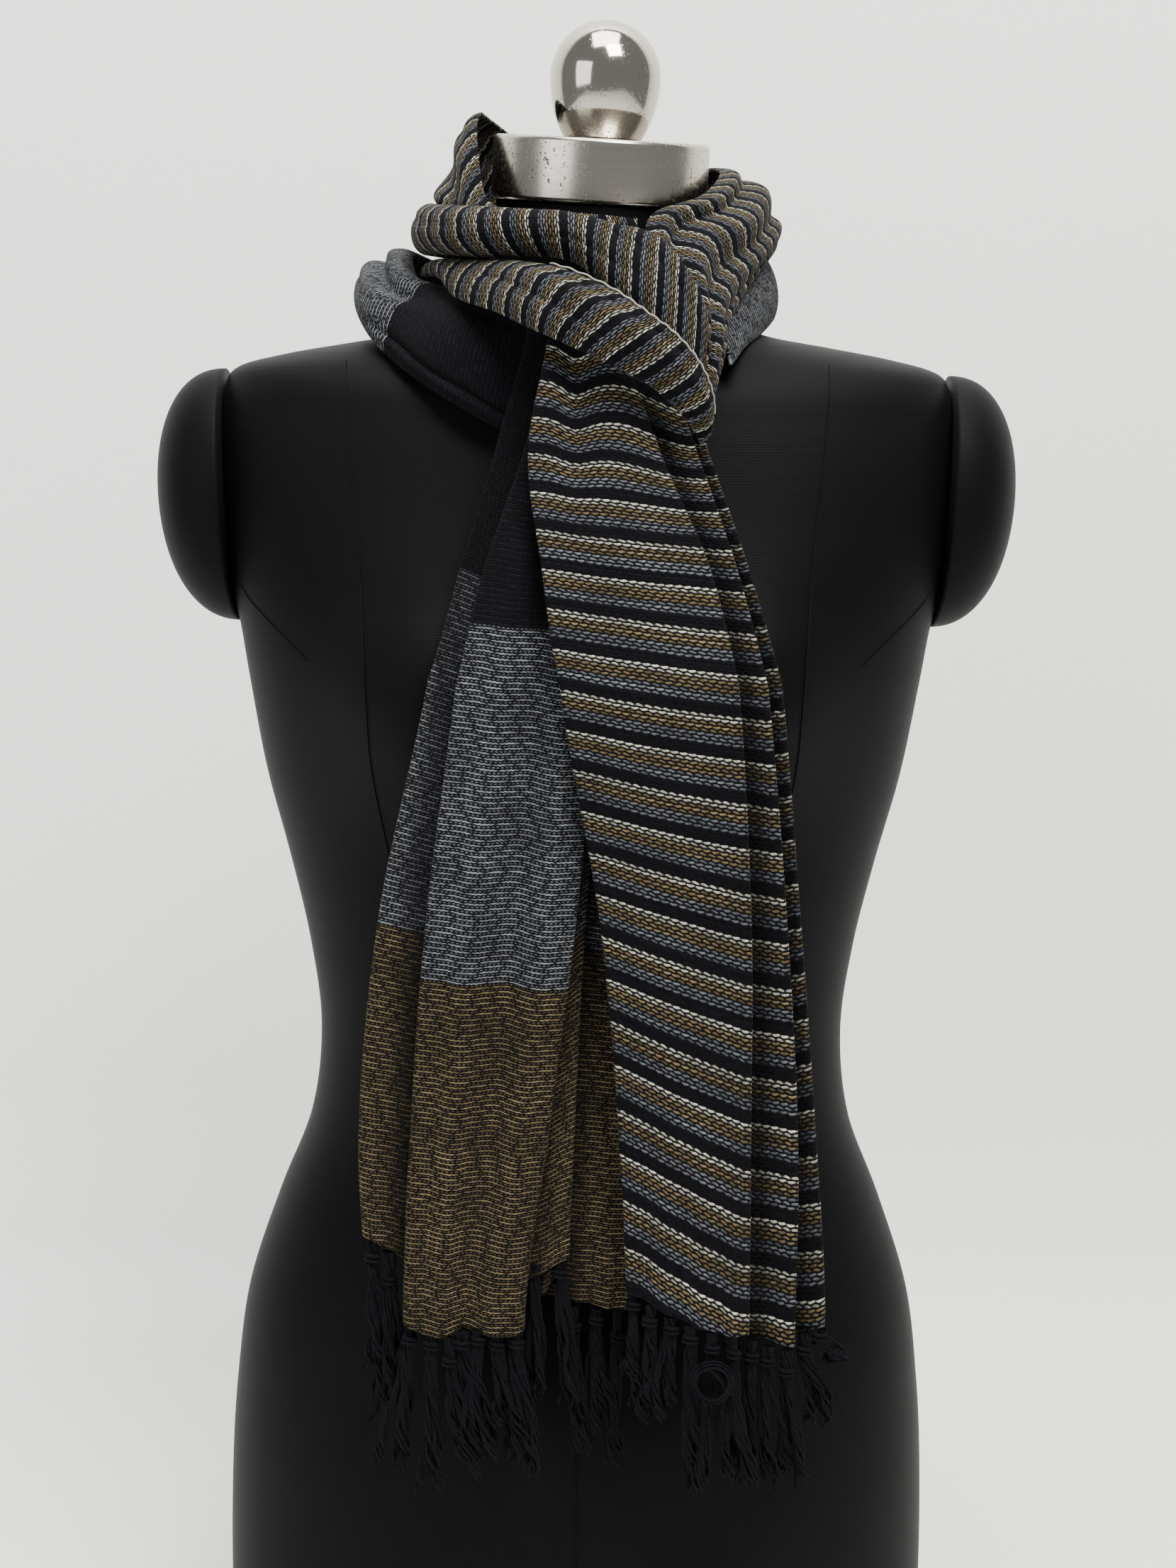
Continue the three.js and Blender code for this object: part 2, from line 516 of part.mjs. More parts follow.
// Where a fold line is in X at height z.
function foldX(fold, z) {
  const line = HEIGHT_NAMES.map((name) => ({ z: TAIL_HEIGHTS[name], x: fold[name] }));
  const i = clamp(line.findIndex((point) => point.z <= z), 1, line.length - 1);
  if (z < line[line.length - 1].z) return fold.hem;
  const pick = (k) => line[clamp(k, 0, line.length - 1)].x;
  const t = clamp((line[i - 1].z - z) / (line[i - 1].z - line[i].z), 0, 1);
  return spline(pick(i - 2), pick(i - 1), pick(i), pick(i + 1), t);
}

// One level section of a hanging end at share s of its drop: corners at the
// folds, each cut back so that the cloth turns in a small round.
function tailSection(folds, hang, s) {
  const corners = folds.flatMap((fold) => {
    const z = mix(TAIL_HEIGHTS.knot, fold.drop, s);
    const x = foldX(fold, z);
    const y = columnAt(hang, 'z', 'y', z);
    const stack = columnAt(hang, 'z', 'stack', z);
    const offsets = fold.before === fold.after ? [fold.before] : [fold.before, fold.after];
    return offsets.map((out) => new THREE.Vector3(x, y - out * stack, z));
  });
  return corners.flatMap((corner, k) => {
    if (k === 0 || k === corners.length - 1) return [corner];
    const cut = (other) => corner.clone().lerp(other, Math.min(FOLD_ROUND / corner.distanceTo(other), 0.42));
    return [cut(corners[k - 1]), cut(corners[k + 1])];
  });
}

function tail(folds, hang, rows) {
  const sheet = Array.from({ length: rows }, (_, i) => tailSection(folds, hang, i / (rows - 1)));
  return wall(sheet, CLOTH);
}

// The reach of a fringe: a wall below the hem.
function fringe(table, y) {
  const sheet = [];
  for (let i = 0; i < 4; i += 1) {
    sheet.push(table.map(({ x, top, bottom }) => new THREE.Vector3(x, y, mix(top, bottom, i / 3))));
  }
  return wall(sheet, TASSEL_DEPTH);
}

// ---------------------------------------------------------------- the object

const group = new THREE.Group();

function add(name, geometry, material) {
  const mesh = new THREE.Mesh(geometry, material);
  mesh.name = name;
  group.add(mesh);
  return mesh;
}

add('torso', torso(), JERSEY);
add('shoulder_cap_left', shoulderCap(-1), JERSEY);
add('shoulder_cap_right', shoulderCap(1), JERSEY);
onNeck(add('neck_cap', neckCap(), STEEL), SEAT_GAP);
onNeck(add('neck_ball', neckBall(), STEEL), 2 * SEAT_GAP + CAP_HEIGHT);

// Each stretch of a band ends at a cut and the next starts just past it.
const { folds: endFolds, back: endBack } = NECK_WRAP_CUTS;
const wrap = (...stretch) => band(NECK_WRAP, NECK_WRAP_FOLDS, ...stretch);
const wrapPast = (cut) => pastCut(NECK_WRAP, cut);
const shoulder = (...stretch) => band(SHOULDER_BAND, SHOULDER_BAND_FOLDS, ...stretch);
const shoulderPast = (cut) => pastCut(SHOULDER_BAND, cut);
const { left: endLeft, back: endShoulderBack } = SHOULDER_BAND_CUTS;
add('neck_collar', band(COLLAR, COLLAR_FOLDS, 0, 1, 22, 9), STRIPED);
add('neck_folds_right', wrap(0, endFolds, 13, 17), STRIPED);
add('neck_wrap_back', wrap(wrapPast(endFolds), endBack, 9, 13), STRIPED);
add('neck_roll_front', wrap(wrapPast(endBack), 1, 18, 9), STRIPED);
add('loop_band', band(LOOP, LOOP_FOLDS, 0, 1, 18, 9), STRIPED);
add('shoulder_band_left', shoulder(0, endLeft, 17, 12), GREY_BLOCK);
add('shoulder_band_back', shoulder(shoulderPast(endLeft), endShoulderBack, 10, 9), GREY_BLOCK);
add('shoulder_band_right', shoulder(shoulderPast(endShoulderBack), 1, 9, 7), GREY_BLOCK);
add('tail_left', tail(TAIL_LEFT, HANG_LEFT, 12), OCHRE_BLOCK);
add('tail_right', tail(TAIL_RIGHT, HANG_RIGHT, 12), STRIPED);
add('fringe_left', fringe(FRINGE_LEFT, HANG_LEFT[HANG_LEFT.length - 1].y - 4), TASSEL);
add('fringe_right', fringe(FRINGE_RIGHT, HANG_RIGHT[HANG_RIGHT.length - 1].y - 4), TASSEL);

export default group;
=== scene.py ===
"""A striped wool stole looped round the neck of a limbless dress form.

The file is laid out as an add-on and is run as a script. Each operator makes
one piece or one group of like pieces round the loaded frame, in metres, with
+Z up and the front of the form facing -Y. Left and right are the viewer's.
"""

import math

import bpy
import numpy as np
from bpy.props import FloatProperty, FloatVectorProperty, IntProperty, PointerProperty
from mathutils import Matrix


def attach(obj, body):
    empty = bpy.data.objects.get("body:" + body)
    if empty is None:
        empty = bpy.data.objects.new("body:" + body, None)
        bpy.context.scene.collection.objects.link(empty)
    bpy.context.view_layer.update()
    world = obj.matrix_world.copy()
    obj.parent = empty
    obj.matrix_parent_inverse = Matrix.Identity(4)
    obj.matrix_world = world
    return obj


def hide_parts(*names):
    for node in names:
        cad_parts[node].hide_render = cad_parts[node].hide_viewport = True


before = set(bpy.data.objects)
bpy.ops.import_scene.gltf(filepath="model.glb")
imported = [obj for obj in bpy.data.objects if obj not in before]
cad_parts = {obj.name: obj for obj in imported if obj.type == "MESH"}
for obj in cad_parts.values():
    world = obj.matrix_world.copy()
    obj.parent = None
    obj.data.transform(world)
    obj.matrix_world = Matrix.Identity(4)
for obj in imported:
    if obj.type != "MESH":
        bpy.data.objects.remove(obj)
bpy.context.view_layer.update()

bl_info = {
    "name": "Stole on a dress form",
    "version": (1, 0, 0),
    "blender": (4, 5, 0),
    "location": "View3D > Sidebar > Stole",
    "description": "Builds a looped wool stole, its fringe and the dress form that it rests on",
    "category": "Object",
}

BODY = "root"
MM = 0.001

# ------------------------------------------------------------------ sizes
# All tables are in millimetres, in the part's own frame.

NECK_X, NECK_Y, NECK_TOP = 4, -8, 709
LEAN_RIGHT, LEAN_FRONT = 0.045, 0.07
CAP_RADIUS, CAP_HEIGHT, CAP_EDGE = 47.5, 27.5, 2.2
BALL_RADIUS, BALL_FOOT_RADIUS, BALL_HEIGHT = 24.2, 17, 50.2
SEAT_GAP = 0.3
ARMHOLE_LOW, ARMHOLE_HIGH, ARMHOLE_X, ARMHOLE_FLARE = 523, 636, 156, 0.055
SHOULDER_OUT, SHOULDER_DEPTH, SHOULDER_ROUND = 33, 50, 0.9
TORSO_SQUARE = 2.25
BUST = {"x": 73, "z": 500, "out": 22, "across": 36, "up": 45}

# Sections of the torso.
TORSO_COLUMNS = ("z", "half", "front", "back")
TORSO = (
    (0, 163, 106, 116),
    (64, 165.5, 109, 120),
    (124, 164.5, 110, 122),
    (167, 161.5, 108, 120),
    (210, 155.5, 102, 112),
    (253, 141.5, 94, 98),
    (294, 125.8, 87, 86),
    (336, 121, 85, 80),
    (377, 125.7, 88, 82),
    (417, 134.5, 95, 86),
    (457, 144.7, 102, 90),
    (497, 151.8, 106, 93),
    (523, 156, 106, 95),
    (540, 160, 103, 97),
    (560, 163.5, 99, 98),
    (580, 165.5, 93, 98),
    (600, 166, 86, 96),
    (615, 165, 80, 93),
    (628, 162.5, 74, 88),
    (637, 156, 66, 80),
    (643, 134, 61, 74),
    (648, 106, 57, 68),
    (653, 78, 55, 62),
    (661, 59, 55, 55),
    (674, 51, 55, 46),
    (692, 47, 54, 39),
    (709, 45.5, 53.5, 37.5),
)

# Seams of the torso's front, each a route in x and z on the right half.
SEAMS = {
    "princess_seam": (
        (104, 640), (101, 606), (96, 566), (93, 529), (91, 500), (89, 466), (80, 410), (72, 350), (70, 320),
    ),
    "dart": ((152, 544), (147, 537), (134, 526), (119, 514)),
    "centre_seam": ((0, 20), (0, 90), (0, 160), (0, 240)),
}

# Sections of the bands of cloth: upper or inner edge, lower or outer edge, how
# far the middle stands out, and how round the section is rolled.
BAND_COLUMNS = ("ax", "ay", "az", "bx", "by", "bz", "out", "roll")
NECK_WRAP = (
    (42, -104, 638, 51, -106, 625, 3, 0.4),
    (38, -102, 651, 53, -102, 634, 4, 0.4),
    (32, -94, 669, 56, -92, 644, 6, 0.4),
    (24, -79, 689, 58, -76, 656, 8, 0.5),
    (27, -62, 702, 64, -52, 667, 10, 0.6),
    (48, -38, 711, 73, -24, 679, 11, 0.6),
    (58, 8, 724, 83, 12, 692, 10, 0.7),
    (46, 46, 727, 70, 54, 688, 11, 0.8),
    (6, 66, 720, 8, 80, 684, 10, 0.9),
    (-36, 58, 713, -48, 68, 686, 9, 1),
    (-65, 29, 708, -72, 33, 688, 8, 1),
    (-69, -6, 708, -71, -8, 687, 8, 1),
    (-64, -36, 706, -62, -40, 686, 10, 1),
    (-46, -62, 704, -43, -68, 684, 12, 1),
    (-20, -78, 701, -18, -86, 684, 12, 1),
    (-4, -82, 699, -3, -92, 680, 11, 1),
    (10, -86, 696, 8, -102, 668, 10, 0.9),
    (26, -94, 692, 24, -114, 652, 9, 0.8),
    (39, -103, 679, 37, -115, 638, 6, 0.8),
    (48, -107, 661, 46, -114, 628, 4, 0.8),
)
COLLAR = (
    (20, -61, 700, 20, -65, 690, 1, 0),
    (-5, -63, 702, -5, -66, 692, 1, 0),
    (-24, -59, 702, -24, -62, 691, 2, 0),
    (-37, -52, 704, -41, -55, 691, 3, 0.2),
    (-45, -41, 711, -52, -43, 694, 4, 0.4),
    (-49, -20, 735, -58, -22, 701, 7.5, 0.7),
    (-49, 4, 748, -59, 2, 704, 8.5, 0.8),
    (-43, 28, 746, -54, 31, 704, 8, 0.7),
    (-26, 47, 736, -32, 50, 704, 5, 0.5),
    (4, 56, 730, 5, 58, 704, 4, 0.4),
    (36, 42, 726, 39, 44, 706, 3, 0.3),
    (51, 14, 722, 52, 16, 704, 2, 0.2),
)
LOOP = (
    (-71, -14, 682, -73, -18, 677, 1, 0.5),
    (-63, -41, 683, -64, -46, 676, 3, 0.6),
    (-46, -60, 681, -55, -74, 667, 6, 0.7),
    (-27, -80, 680, -38, -99, 661, 8, 0.7),
    (-10, -105, 677, -22, -118, 654, 9, 0.7),
    (9, -122, 669, -8, -128, 648, 8, 0.6),
    (23, -131, 660, 8, -133, 641, 7, 0.6),
    (35, -131, 651, 24, -132, 633, 6, 0.6),
    (44, -128, 640, 35, -129, 624, 5, 0.6),
    (49, -122, 628, 42, -123, 616, 4, 0.6),
    (50, -115, 617, 46, -116, 609, 2, 0.6),
)
SHOULDER_BAND = (
    (-6, -87, 648, -22, -91, 606, 2, 0),
    (-18, -85, 656, -35, -91, 612, 3, 0),
    (-34, -77, 664, -50, -87, 620, 5, 0),
    (-48, -64, 669, -66, -77, 629, 8, 0.1),
    (-57, -42, 671, -82, -61, 640, 10, 0.2),
    (-73, -30, 674, -95, -38, 652, 12, 0.8),
    (-78, -8, 682, -101, -6, 662, 12, 1),
    (-78, 18, 686, -98, 24, 668, 12, 1),
    (-62, 50, 682, -78, 62, 656, 10, 0.8),
    (-30, 74, 680, -38, 88, 648, 9, 0.7),
    (6, 80, 682, 6, 98, 648, 9, 0.7),
    (40, 66, 684, 50, 80, 652, 8, 0.6),
    (62, 42, 688, 76, 54, 658, 6, 0.5),
    (74, 13, 692, 84, 20, 662, 5, 0.4),
    (66, -22, 680, 77, -20, 655, 4, 0.3),
    (58, -48, 668, 67, -52, 648, 3, 0.2),
    (51, -68, 656, 60, -74, 640, 2, 0),
)

# Folds along a band: place across it, height (a trough is below 0), half width
# as a share of the band, where along the band it starts and ends, and how far
# across it wanders on the way.
FOLD_COLUMNS = ("at", "out", "width", "start", "end", "drift")
NECK_WRAP_FOLDS = (
    (0.14, 2.2, 0.07, 0.08, 0.34, 0.02),
    (0.29, -2.6, 0.06, 0.06, 0.46, 0),
    (0.47, 2.6, 0.09, 0.02, 0.36, -0.03),
    (0.63, -2.2, 0.06, 0.00, 0.42, 0.03),
    (0.78, 1.6, 0.07, 0.02, 0.36, 0),
    (0.88, -1.6, 0.04, 0.05, 0.33, 0.03),
    (0.40, -0.9, 0.08, 0.52, 0.72, 0.2),
    (0.62, -1.0, 0.05, 0.70, 0.92, -0.25),
    (0.34, -1.1, 0.05, 0.80, 1.00, 0.12),
    (0.78, -0.9, 0.05, 0.84, 1.00, -0.05),
)
COLLAR_FOLDS = (
    (0.50, -3, 0.12, 0.38, 0.70, 0),
    (0.78, 5, 0.12, 0.40, 0.66, 0),
    (0.28, -1.2, 0.06, 0.44, 0.74, 0.1),
    (0.62, -1.0, 0.05, 0.30, 0.55, -0.15),
)
LOOP_FOLDS = (
    (0.40, 1.5, 0.10, 0.30, 0.90, 0),
    (0.62, -1.3, 0.05, 0.22, 0.70, 0.15),
    (0.24, -0.9, 0.05, 0.35, 0.80, -0.08),
    (0.80, -0.8, 0.04, 0.45, 0.95, 0.05),
)
SHOULDER_BAND_FOLDS = (
    (0.42, -6, 0.10, 0.24, 0.50, 0),
    (0.50, -3, 0.12, 0.50, 0.80, 0),
    (0.84, -1.6, 0.03, 0.02, 0.34, -0.05),
    (0.92, 1.2, 0.03, 0.02, 0.32, -0.03),
    (0.20, -1.2, 0.05, 0.05, 0.28, 0.1),
    (0.70, -1.2, 0.05, 0.30, 0.62, 0.1),
    (0.26, -1.4, 0.05, 0.40, 0.72, 0.05),
)

# Hanging ends. A row is a fold line: its place in X at seven heights, the
# height of the hem there, the height where ochre starts (on the striped end, how
# far the stripes sag at the hem), and how far in front of the hanging plane the cloth is before and after the fold.
TAIL_HEIGHTS = (656, 605, 560, 513, 416, 321, 245)
TAIL_COLUMNS = ("knot", "chest", "bust", "rib", "waist", "hip", "hem", "drop", "block", "before", "after")
TAIL_LEFT = (
    (-18, -30, -41, -52, -71, -80, -78, 272, 412, -4, -4),
    (-24, -37, -50, -63, -83, -92, -89, 277, 413, -4, -1),
    (-11, -21, -35, -45, -57, -63, -66, 262, 408, 3.5, 6.6),
    (-14, -25, -40, -51, -63, -70, -73, 241, 392, 6.6, 10),
    (-8, -16, -26, -35, -45, -53, -59, 234, 391, 13, 13),
    (-2, -8, -12, -19, -27, -37, -45, 239, 389, 5.5, 5.5),
    (1, -2, -4, -8, -15, -25, -34, 235, 388, 12, 12),
    (4, 4, 4, 4, -3, -14, -23, 238, 388, 9, 6),
    (1, 0, -1, -3, -11, -23, -32, 252, 398, 6, 3),
    (8, 8, 8, 8, 1, -3, -5, 268, 411, 3, 0),
    (5, 4, 3, 1, -7, -12, -15, 250, 404, 0, -3),
    (12, 12, 12, 14, 17, 24, 25, 242, 400, -3, -3),
)
TAIL_RIGHT = (
    (-8, -14, -8, 1, 18, 27, 31, 257, 0, 5.5, 5.5),
    (-15, -23, -17, -9, 8, 17, 21, 259, 0, 5.5, 9),
    (-8, -8, 3, 12, 27, 34, 37, 250, 1, 12.5, 12.5),
    (3, 10, 26, 37, 48, 53, 55, 243, 5, 13, 13),
    (12, 29, 49, 61, 68, 70, 71, 239, 10, 9, 6),
    (7, 23, 42, 53, 60, 62, 63, 238, 10, 4, -4),
    (27, 44, 60, 73, 83, 90, 91, 231, 8, 1, -2),
    (23, 39, 54, 66, 76, 83, 84, 234, 8, -4, -10),
    (33, 49, 65, 79, 89, 98, 104, 238, 6, -5, -8),
    (25, 38, 54, 67, 76, 84, 90, 240, 6, -12, -12),
)
HANG_COLUMNS = ("z", "y", "stack")
HANG_LEFT = (
    (656, -96, 0.6),
    (605, -102, 0.85),
    (560, -118, 0.9),
    (513, -131, 1),
    (416, -134, 1),
    (321, -132, 1),
    (230, -129, 1),
)
HANG_RIGHT = (
    (656, -103, 0.7),
    (635, -110, 0.8),
    (605, -117, 0.85),
    (560, -133, 0.9),
    (513, -144, 1),
    (416, -143, 1),
    (321, -139, 1),
    (230, -136, 1),
)

# Where ochre starts along the cloth of the left end, in metres of its repeat.
BLOCK_CHANGE = 0.5

# Yarns in a tassel, each of several strands, and how far down its knot sits.
YARNS = 6
KNOT = 0.13

# Tassels: where each hangs from, where its strands end, and how far they spread.
TASSEL_COLUMNS = ("x", "top", "depth", "end_x", "end_z", "spread")
TASSELS_LEFT = (
    (-87, 272, 1, -85, 213, 5),
    (-80, 268, 1, -79, 190, 6),
    (-71, 240, 8, -78, 172, 5),
    (-62, 236, 10, -62, 166, 6),
    (-54, 234, 10, -46, 170, 7),
    (-49, 237, 10, -36, 176, 6),
    (-42, 237, 9, -50, 178, 6),
    (-34, 235, 9, -30, 192, 5),
    (-26, 238, 8, -22, 170, 6),
    (-18, 268, 2, -16, 196, 5),
    (-8, 266, 2, -3, 190, 5),
    (-2, 243, -4, 2, 176, 5),
    (8, 242, -4, 8, 186, 5),
    (17, 241, -4, 14, 172, 5),
)
# A loose ring of yarn in front of the right fringe: x, z, radius, and how far out.
CURL = (56, 222, 8, 18)
TASSELS_RIGHT = (
    (23, 257, 8, 22, 214, 4),
    (30, 252, 10, 27, 205, 5),
    (39, 247, 11, 33, 200, 6),
    (47, 244, 12, 46, 172, 6),
    (56, 241, 12, 52, 168, 6),
    (65, 239, 10, 66, 170, 7),
    (73, 234, 3, 70, 167, 6),
    (80, 231, 2, 84, 168, 7),
    (88, 229, 2, 94, 166, 7),
    (96, 235, -3, 104, 190, 7),
    (102, 236, -3, 113, 222, 6),
)

# ------------------------------------------------------------------ settings


class StoleSizes(bpy.types.PropertyGroup):
    """Sizes of the stole that a user may change."""

    thickness: FloatProperty(
        name="Cloth thickness", description="Thickness of the woven cloth",
        default=1.5 * MM, min=0.5 * MM, max=4 * MM, unit="LENGTH",
    )
    stripe_repeat: FloatProperty(
        name="Stripe repeat", description="Length of one repeat of the narrow stripes",
        default=17.6 * MM, min=5 * MM, max=60 * MM, unit="LENGTH",
    )
    pick: FloatProperty(
        name="Pick spacing", description="Distance between weft yarns in the blocks of colour",
        default=1.1 * MM, min=0.5 * MM, max=5 * MM, unit="LENGTH",
    )
    strand: FloatProperty(
        name="Strand", description="Diameter of one strand of a tassel",
        default=1.25 * MM, min=0.2 * MM, max=3 * MM, unit="LENGTH",
    )
    strands: IntProperty(
        name="Strands", description="Strands in each tassel", default=30, min=3, max=60,
    )


class StoleColours(bpy.types.PropertyGroup):
    """Colours of the yarns and of the dress form."""

    black: FloatVectorProperty(
        name="Warp", description="Black warp yarn",
        default=(0.0034, 0.0034, 0.0043), subtype="COLOR", min=0, max=1,
    )
    cream: FloatVectorProperty(
        name="Cream", description="Cream weft yarn", default=(0.30, 0.29, 0.235), subtype="COLOR", min=0, max=1,
    )
    ochre: FloatVectorProperty(
        name="Ochre", description="Ochre weft yarn", default=(0.098, 0.074, 0.036), subtype="COLOR", min=0, max=1,
    )
    slate: FloatVectorProperty(
        name="Slate", description="Blue-grey weft yarn", default=(0.074, 0.079, 0.087), subtype="COLOR", min=0, max=1,
    )
    grey: FloatVectorProperty(
        name="Grey", description="Pale grey weft yarn of the grey blocks",
        default=(0.118, 0.124, 0.131), subtype="COLOR", min=0, max=1,
    )
    jersey: FloatVectorProperty(
        name="Jersey", description="Jersey cover of the dress form",
        default=(0.0024, 0.0025, 0.0029), subtype="COLOR", min=0, max=1,
    )
    steel: FloatVectorProperty(
        name="Steel", description="Neck cap and ball", default=(0.46, 0.43, 0.37), subtype="COLOR", min=0, max=1,
    )
    wall: FloatVectorProperty(
        name="Wall", description="Pale floor and backdrop", default=(0.92, 0.912, 0.888), subtype="COLOR", min=0, max=1,
    )


# ------------------------------------------------------------------ tables


def rows_at(table, columns, t):
    """The table's columns at places t, from 0 at its first row to 1 at its last.

    Catmull-Rom: each value is a cubic blend of the four nearest rows.
    """
    rows = np.array(table, float)
    place = np.clip(t, 0, 1) * (len(rows) - 1)
    i = np.minimum(place.astype(int), len(rows) - 2)
    f = (place - i)[..., None]
    a, b, c, d = (rows[np.clip(i + k, 0, len(rows) - 1)] for k in (-1, 0, 1, 2))
    values = 0.5 * (2 * b + (c - a) * f + (2 * a - 5 * b + 4 * c - d) * f**2 + (3 * b - a - 3 * c + d) * f**3)
    return {name: values[..., k] for k, name in enumerate(columns)}


def named(row, columns):
    """One row of a table as a dict by column name."""
    return dict(zip(columns, row))


def smooth(t):
    """A soft step from 0 to 1."""
    t = np.clip(t, 0, 1)
    return t * t * (3 - 2 * t)


def folds_at(folds, u, t):
    """Height of the folds at place u across and t along: a sum of Gaussian ridges and troughs.

    Each fades in and out along the band, and its middle wanders across by its drift.
    """
    total = np.zeros(np.broadcast(u, t).shape)
    for row in folds:
        fold = named(row, FOLD_COLUMNS)
        share = (t - fold["start"]) / (fold["end"] - fold["start"])
        middle = fold["at"] + fold["drift"] * (np.clip(share, 0, 1) - 0.5)
        along = smooth((t - fold["start"]) / 0.06) * smooth((fold["end"] - t) / 0.06)
        total += fold["out"] * along * np.exp(-(((u - middle) / fold["width"]) ** 2))
    return total


# ------------------------------------------------------------------ meshes


def unit(vectors):
    """Vectors scaled to length one."""
    return vectors / np.maximum(np.linalg.norm(vectors, axis=-1, keepdims=True), 1e-12)


def grid_faces(rows, columns, close_columns=False, first=0):
    """Four-sided faces of a grid of rows x columns points, closed round its columns if asked."""
    i = np.arange(rows - 1)[:, None]
    j = np.arange(columns if close_columns else columns - 1)[None, :]
    k = (j + 1) % columns
    quads = np.stack([i * columns + j, i * columns + k, (i + 1) * columns + k, (i + 1) * columns + j], -1)
    return quads.reshape(-1, 4) + first


def mesh_object(name, points, faces, uv=None, material=None):
    """An object at the origin from points in millimetres, quads, and a UV for each point in metres."""
    mesh = bpy.data.meshes.new(name)
    points = np.asarray(points, float).reshape(-1, 3) * MM
    faces = np.asarray(faces, int)
    mesh.vertices.add(len(points))
    mesh.vertices.foreach_set("co", points.ravel())
    mesh.loops.add(faces.size)
    mesh.loops.foreach_set("vertex_index", faces.ravel())
    mesh.polygons.add(len(faces))
    mesh.polygons.foreach_set("loop_start", np.arange(len(faces)) * faces.shape[1])
    mesh.polygons.foreach_set("use_smooth", np.ones(len(faces), bool))
    mesh.update(calc_edges=True)
    if uv is not None:
        layer = mesh.uv_layers.new(name="cloth")
        layer.data.foreach_set("uv", np.asarray(uv, float).reshape(-1, 2)[faces.ravel()].ravel())
    mesh.validate()
    if material:
        mesh.materials.append(material)
    piece = bpy.data.objects.new(name, mesh)
    bpy.context.scene.collection.objects.link(piece)
    return piece


def cloth_uv(points, reference):
    """UV of a sheet of points in metres: along it by its middle line, across it by true distance.

    Across is the summed distance from the reference column in each row; along is
    the summed distance down the reference column.
    """
    steps = np.linalg.norm(np.diff(points, axis=1), axis=-1)
    across = np.concatenate([np.zeros((len(points), 1)), np.cumsum(steps, axis=1)], axis=1)
    across = across - across[:, reference : reference + 1]
    line = points[:, reference]
    along = np.concatenate([[0], np.cumsum(np.linalg.norm(np.diff(line, axis=0), axis=-1))])
    return np.stack([across, np.broadcast_to(along[:, None], across.shape)], -1) * MM


def add_wall(piece, thickness):
    """Gives a sheet its thickness, half to each side."""
    solidify = piece.modifiers.new("cloth", "SOLIDIFY")
    solidify.thickness = thickness
    solidify.offset = 0
    solidify.use_even_offset = False
    return piece


def settle(piece, slot, *nodes):
    """A piece rides on the one body and stands for its CAD nodes, which it hides; its slot is not used."""
    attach(piece, BODY)
    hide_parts(*nodes)
    return piece


# ------------------------------------------------------------------ shapes


def band_points(table, folds, rows, columns, slant=0.0):
    """A band of cloth as a grid of points.

    For place t along and u across, a point is the upper edge plus a share of
    the chord to the lower edge, plus an arch along the outward normal: the
    share is u for a flat arch and (1 - cos(pi u)) / 2 for a half round, and
    the arch is its height times sin(pi u), plus the folds.
    """
    t = np.linspace(0, 1, rows)
    row, before, after = (rows_at(table, BAND_COLUMNS, t + step) for step in (0, -0.01, 0.01))
    a = np.stack([row["ax"], row["ay"], row["az"]], -1)
    b = np.stack([row["bx"], row["by"], row["bz"]], -1)
    chord = b - a
    along = np.stack([after["a" + k] + after["b" + k] - before["a" + k] - before["b" + k] for k in "xyz"], -1)
    out = unit(np.cross(along, chord))
    away = (a + b) / 2 - np.array([NECK_X, NECK_Y, 0])
    away[:, 2] = 0
    out *= np.sign(np.sum(out * away, -1, keepdims=True))
    u = np.linspace(0, 1, columns)[None, :]
    roll = np.clip(row["roll"], 0, 1)[:, None]
    share = u + ((1 - np.cos(np.pi * u)) / 2 - u) * roll
    height = row["out"][:, None] * np.sin(np.pi * u) + folds_at(folds, u, t[:, None])
    return a[:, None] + chord[:, None] * share[..., None] + out[:, None] * height[..., None]


